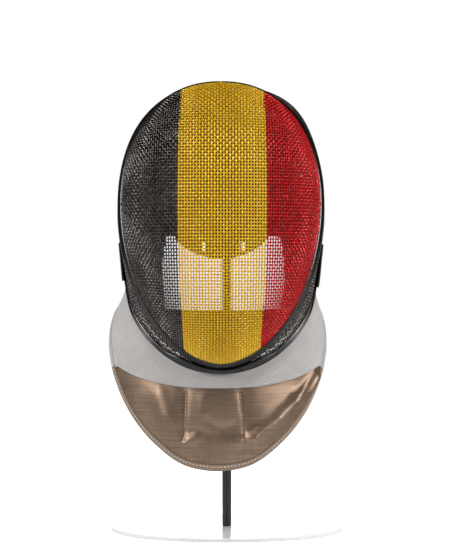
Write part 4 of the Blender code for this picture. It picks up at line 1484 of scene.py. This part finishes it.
def merged_copy(node, name):
    """A closed copy of a CAD node's mesh."""
    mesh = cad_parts[node].data.copy()
    shape = bmesh.new()
    shape.from_mesh(mesh)
    bmesh.ops.remove_doubles(shape, verts=shape.verts, dist=0.00001)
    bmesh.ops.recalc_face_normals(shape, faces=shape.faces)
    shape.to_mesh(mesh)
    shape.free()
    mesh.materials.clear()
    return new_piece(name, mesh)


def points_of(mesh):
    flat = np.zeros(len(mesh.vertices) * 3, np.float32)
    mesh.vertices.foreach_get("co", flat)
    return flat.reshape(-1, 3).astype(float)


def set_points(mesh, points):
    mesh.vertices.foreach_set("co", points.astype(np.float32).ravel())
    mesh.update()


def drawn_in(piece, distance):
    """Moves every point in along its normal."""
    normals = np.array([vertex.normal for vertex in piece.data.vertices], float)
    set_points(piece.data, points_of(piece.data) - normals * distance)


def blown_up(piece, reach):
    """Cloth simulation with the pressure of the foam, no point moving further than reach."""
    start = points_of(piece.data)
    cloth = piece.modifiers.new("cover", "CLOTH")
    for key, value in PAD_COVER.items():
        setattr(cloth.settings, key, value)
    cloth.settings.effector_weights.gravity = 0
    cloth.collision_settings.use_collision = False
    scene = bpy.context.scene
    for step in range(1, PAD_FRAMES + 1):
        scene.frame_set(step)
    made_plain(piece)
    moved = points_of(piece.data) - start
    far = np.linalg.norm(moved, axis=1)[:, None]
    set_points(piece.data, start + moved * np.minimum(1, reach / np.maximum(far, 1e-9)))
    scene.frame_set(1)


def build_pads():
    """Foam pads in a knitted cover, each in the place of its CAD solid."""
    for node, name in PADS.items():
        piece = merged_copy(node, name)
        skin = piece.modifiers.new("skin", "REMESH")
        skin.mode = "VOXEL"
        skin.voxel_size = VOXEL
        made_plain(piece)
        drawn_in(piece, PAD_SHRINK)
        blown_up(piece, PAD_REACH)
        finer = piece.modifiers.new("finer", "SUBSURF")
        finer.levels = finer.render_levels = 1
        made_plain(piece)
        piece.data.shade_smooth()
        finished(piece, [node], BLACK_KNIT)


# ---- Rear tongue and strap ----
TONGUE_HALF_ANGLE = 58
TONGUE_WALL = 0.009
TONGUE_EDGE_WALL = 0.004
TONGUE_BOTTOM_HALF = 0.046
TONGUE_BOTTOM_HEIGHT = 0.2727
TONGUE_BOTTOM_RISE = 0.030
TONGUE_ROUNDNESS = 0.97
TONGUE_BOTTOM_DEPTH = 0.094
TONGUE_WRAP = 0.012
TONGUE_SWELL = 0.011
SLOT_PLACES = {"slot_left": -0.0185, "slot_right": 0.0225}
SLOT_HEIGHT = 0.2845
SLOT_SIZE = (0.0038, 0.06, 0.0085)
STRAP_ANGLES = (60.5, 106)
STRAP_WALL = 0.003
STRAP_CLEARANCE = 0.0016
STRAP_BACK_DEPTH = 0.1065
STRAP_TOP = 0.3595
STRAP_BOTTOM = 0.2955
STRAP_FLARE_START = 0.052
TONGUE_COLUMNS = 64
TONGUE_ROWS = 60
TONGUE_ROLL = 0.010
TONGUE_LENGTH = 0.12
STRAP_CLOTH = STRAP_WALL * 0.8
STRAP_ROWS = 24


def tongue_bottom(part):
    """The tongue's lower edge, a U; part runs from -1 to 1 across it."""
    rise = 1 - math.sqrt(1 - TONGUE_ROUNDNESS * part * part)
    return Vector((
        TONGUE_BOTTOM_HALF * part,
        TONGUE_BOTTOM_DEPTH - TONGUE_WRAP * part * part,
        TONGUE_BOTTOM_HEIGHT + TONGUE_BOTTOM_RISE * rise,
    ))


def tongue_point(part, share):
    """Point of the tongue's middle surface, part -1 to 1 across it and share 0 to 1 down it."""
    angle = TONGUE_HALF_ANGLE * part
    direction = edge_direction(angle)
    end = tongue_bottom(part)
    bend = direction.angle(end - outer_edge(angle) + Vector((0, 4 * TONGUE_SWELL, 0)))
    start = outer_edge(angle) + direction * (2 * GAP + TONGUE_EDGE_WALL / 2 * math.sin(bend))
    swell = TONGUE_SWELL * 4 * share * (1 - share)
    return start.lerp(end, share) + Vector((0, swell, 0))


def build_tongue():
    """A padded flap behind the head, thin along its sewn edges, with two slots cut through."""
    rings = []
    for share in spread(0, 1, TONGUE_ROWS):
        ahead, behind = [], []
        for part in spread(-1, 1, TONGUE_COLUMNS):
            here = tongue_point(part, share)
            wide = tongue_point(part + SHARE_NUDGE, share) - tongue_point(part - SHARE_NUDGE, share)
            deep = tongue_point(part, share + SHARE_NUDGE) - tongue_point(part, share - SHARE_NUDGE)
            out = deep.cross(wide).normalized()
            edge = min((1 - abs(part)) * TONGUE_BOTTOM_HALF, min(share, 1 - share) * TONGUE_LENGTH)
            wall = TONGUE_EDGE_WALL + (TONGUE_WALL - TONGUE_EDGE_WALL) * math.sqrt(ease(edge / TONGUE_ROLL))
            ahead.append(here - out * wall / 2)
            behind.append(here + out * wall / 2)
        rings.append(ahead + behind[::-1])
    piece = tube_piece("padded_tongue", rings, closed=False)
    for name, across in SLOT_PLACES.items():
        shape = bmesh.new()
        bmesh.ops.create_cube(shape, size=1)
        bmesh.ops.scale(shape, vec=SLOT_SIZE, verts=shape.verts)
        mesh = bpy.data.meshes.new(name)
        shape.to_mesh(mesh)
        shape.free()
        cutter = new_piece(name, mesh)
        cutter.location = (across, TONGUE_BOTTOM_DEPTH, SLOT_HEIGHT)
        cut = piece.modifiers.new(name, "BOOLEAN")
        cut.object = cutter
        cut.operation = "DIFFERENCE"
        cut.solver = "EXACT"
    made_plain(piece)
    for name in SLOT_PLACES:
        bpy.data.objects.remove(bpy.data.objects[name])
    piece.data.shade_smooth()
    piece.data.set_sharp_from_angle(angle=math.radians(50))
    finished(shifted(piece), ["rear_tongue"], BLACK_KNIT)


def strap_point(turn, share):
    """Point of the rear strap, turn 0 to pi from one side to the other, share 0 at its lower edge."""
    angle = STRAP_ANGLES[1] + (STRAP_ANGLES[0] - STRAP_ANGLES[1]) * share
    end = outer_edge(angle) + edge_direction(angle) * STRAP_CLEARANCE
    side = math.copysign(1, math.cos(turn))
    across = end.x * abs(math.cos(turn))
    level = STRAP_BOTTOM + (STRAP_TOP - STRAP_BOTTOM) * share
    flare = ease((across - STRAP_FLARE_START) / (end.x - STRAP_FLARE_START))
    height = level + (end.z - level) * flare
    depth = end.y + (STRAP_BACK_DEPTH - end.y) * math.sin(turn)
    return Vector((side * across, depth, height))


def build_strap():
    """Wide elastic round the back, gathered a little toward its ends."""
    rows, cloth, total = [], [], 0
    before = None
    for turn in spread(0, math.pi, 160):
        row = [strap_point(turn, share) for share in spread(0, 1, STRAP_ROWS)]
        middle = row[STRAP_ROWS // 2]
        total += (middle - before).length if before else 0
        before = middle
        tall = (row[-1] - row[0]).length
        rows.append(row)
        cloth.append([(total, tall * share) for share in spread(0, 1, STRAP_ROWS)])
    piece = facing(grid_piece("elastic_strap", rows, cloth=cloth), Vector((1, 0, 0)))
    walled(piece, STRAP_CLOTH)
    finished(shifted(piece), ["rear_strap"], BLACK_WEBBING)


# ---- Stand ----
ROD_RADIUS = 0.0045
ROD_SHOULDER = 0.400
CAP_RADIUS = 0.020
CAP_TOP = 0.4244
CAP_FLAT_RADIUS = 0.011
CAP_FLAT_DROP = 0.0012
CAP_RIM_DROP = 0.005
CAP_RIM_HEIGHT = 0.004
BASE_RADIUS = 0.115
BASE_THICKNESS = 0.004
BASE_EDGE = 0.001
TURNED_SIDES = 96


def turned_piece(name, profile, finish, node):
    """A closed turned solid; the profile runs from the axis at the top to the axis at the bottom."""
    inner = profile[1:-1]
    points, faces = [], []
    for radius, height in inner:
        for turn in spread(0, 2 * math.pi, TURNED_SIDES)[:-1]:
            points.append((radius * math.cos(turn), radius * math.sin(turn), height))
    pairs = [(side, (side + 1) % TURNED_SIDES) for side in range(TURNED_SIDES)]
    for ring in range(len(inner) - 1):
        here, below = ring * TURNED_SIDES, (ring + 1) * TURNED_SIDES
        faces += [(here + side, below + side, below + after, here + after) for side, after in pairs]
    for end, ring, way in ((profile[0], 0, 1), (profile[-1], len(inner) - 1, -1)):
        here = ring * TURNED_SIDES
        faces += [(here + side, here + after, len(points))[::way] for side, after in pairs]
        points.append((0, 0, end[1]))
    mesh = bpy.data.meshes.new(name)
    mesh.from_pydata(points, [], faces)
    mesh.shade_smooth()
    mesh.set_sharp_from_angle(angle=math.radians(35))
    finished(new_piece(name, mesh), [node], finish)


def rounded(corner, radius, steps, start):
    """Points of a quarter round, (radius, height) pairs; start is the angle it starts at."""
    turns = [start - QUARTER * step / steps for step in range(steps + 1)]
    return [(corner[0] + radius * math.cos(turn), corner[1] + radius * math.sin(turn)) for turn in turns]


def build_stand():
    foot = BASE_THICKNESS + GAP
    rod = [(0, CAP_TOP)]
    # The dome's arc from its flat middle to its rim, then the underside, the neck and the rod
    rod += [(CAP_FLAT_RADIUS * share, CAP_TOP - CAP_FLAT_DROP * share**2) for share in (0.35, 0.7, 1.0)]
    fall = CAP_RIM_DROP - CAP_FLAT_DROP
    for share in (0.3, 0.55, 0.75, 0.9, 1.0):
        run = CAP_FLAT_RADIUS + (CAP_RADIUS - CAP_FLAT_RADIUS) * math.sin(share * QUARTER)
        rod.append((run, CAP_TOP - CAP_FLAT_DROP - fall * (1 - math.cos(share * QUARTER))))
    under = CAP_TOP - CAP_RIM_DROP - CAP_RIM_HEIGHT
    rod.append((CAP_RADIUS, under + 0.0008))
    rod.append((CAP_RADIUS - 0.0008, under))
    rod.append((ROD_RADIUS + 0.001, ROD_SHOULDER + 0.001))
    rod.append((ROD_RADIUS, ROD_SHOULDER))
    rod += [(ROD_RADIUS, foot + (ROD_SHOULDER - foot) * share) for share in (0.75, 0.5, 0.25, 0.002)]
    rod += [(ROD_RADIUS - 0.0004, foot), (0, foot)]
    turned_piece("rod_and_cap", rod, BLACK_STEEL, "stand_rod")
    base = [(0, BASE_THICKNESS), (ROD_RADIUS * 3, BASE_THICKNESS), (BASE_RADIUS * 0.8, BASE_THICKNESS)]
    base += rounded((BASE_RADIUS - BASE_EDGE, BASE_THICKNESS - BASE_EDGE), BASE_EDGE, 5, QUARTER)
    base += rounded((BASE_RADIUS - BASE_EDGE, BASE_EDGE), BASE_EDGE, 5, 0)
    base += [(BASE_RADIUS * 0.8, 0), (0, 0)]
    turned_piece("round_base", base, WHITE_STEEL, "stand_base")


# ---- Floor, light and camera ----
CAMERA_DISTANCE = 2.4
CAMERA_HEIGHT = 0.254
CAMERA_ACROSS = MASK_SHIFT + 0.004
FRAME_HEIGHT_MM = 36
PHOTO_HEIGHT_M = 0.552
ROOM_LIGHT = 0.04
FLOOR_GLOW = 1.0
FLOOR_HALF = 12
LAMP_AIM = Vector((0, 0, 0.28))
SOFTBOXES = (
    ("softbox_left", (-2.0, -0.8, 0.85), 0.7, 28),
    ("softbox_right", (2.0, -0.75, 0.75), 0.7, 29),
    ("softbox_top", (0.0, -0.9, 1.9), 0.9, 11),
)
BASE_LAMP = {"energy": 95, "spot_size": math.radians(9.5), "spot_blend": 0.2, "shadow_soft_size": 0.03}
BASE_LAMP_PLACE = (0, 1.4, 1.0)


def aimed(name, data, place, target):
    """A lamp that shines from its place at a target."""
    holder = new_piece(name, data)
    holder.location = place
    holder.rotation_euler = (target - Vector(place)).to_track_quat("-Z", "Y").to_euler()


def build_stage():
    mesh = bpy.data.meshes.new("floor")
    corners = [(FLOOR_HALF * x, FLOOR_HALF * y, 0) for x, y in ((-1, -1), (1, -1), (1, 1), (-1, 1))]
    mesh.from_pydata(corners, [], [(0, 1, 2, 3)])
    floor = new_piece("floor", mesh)
    material, tree, shader = new_finish("white_paper_floor", Roughness=0.9)
    shader.inputs["Base Color"].default_value = linear("#f4f4f4")
    shader.inputs["Emission Color"].default_value = linear("#ffffff")
    # The paper is lit from below for the camera alone
    seen = add_node(tree, "ShaderNodeLightPath").outputs["Is Camera Ray"]
    glow = add_node(tree, "ShaderNodeMapRange", {"Value": seen, "To Min": 0.0, "To Max": FLOOR_GLOW})
    tree.links.new(glow.outputs["Result"], shader.inputs["Emission Strength"])
    mesh.materials.append(material)

    world = bpy.data.worlds.new("white_room")
    world.use_nodes = True
    room = world.node_tree.nodes["Background"]
    room.inputs["Color"].default_value = (1, 1, 1, 1)
    # The backdrop is lit to pure white, the room in front of it is dim
    tree = world.node_tree
    seen = add_node(tree, "ShaderNodeLightPath").outputs["Is Camera Ray"]
    light = add_node(tree, "ShaderNodeMapRange", {"Value": seen, "To Min": ROOM_LIGHT, "To Max": 1.0})
    tree.links.new(light.outputs["Result"], room.inputs["Strength"])
    bpy.context.scene.world = world

    for name, place, size, power in SOFTBOXES:
        lamp = bpy.data.lights.new(name, "AREA")
        lamp.shape = "SQUARE"
        lamp.size = size
        lamp.energy = power
        aimed(name, lamp, place, LAMP_AIM)

    # A narrow lamp from behind washes the base plate out into the backdrop
    lamp = bpy.data.lights.new("base_lamp", "SPOT")
    for key, value in BASE_LAMP.items():
        setattr(lamp, key, value)
    aimed("base_lamp", lamp, BASE_LAMP_PLACE, Vector((0, 0, 0)))

    camera = bpy.data.cameras.new("camera")
    camera.sensor_width = FRAME_HEIGHT_MM
    camera.lens = FRAME_HEIGHT_MM * CAMERA_DISTANCE / PHOTO_HEIGHT_M
    holder = new_piece("camera", camera)
    holder.location = (CAMERA_ACROSS, -CAMERA_DISTANCE, CAMERA_HEIGHT)
    holder.rotation_euler = (QUARTER, 0, 0)
    bpy.context.scene.camera = holder
    bpy.context.scene.view_settings.view_transform = "Standard"


build_stage()
build_face_wires()
build_side_wires()
build_front_band()
build_outer_trim()
build_tabs()
dress_bib()
build_pads()
build_tongue()
build_strap()
build_stand()
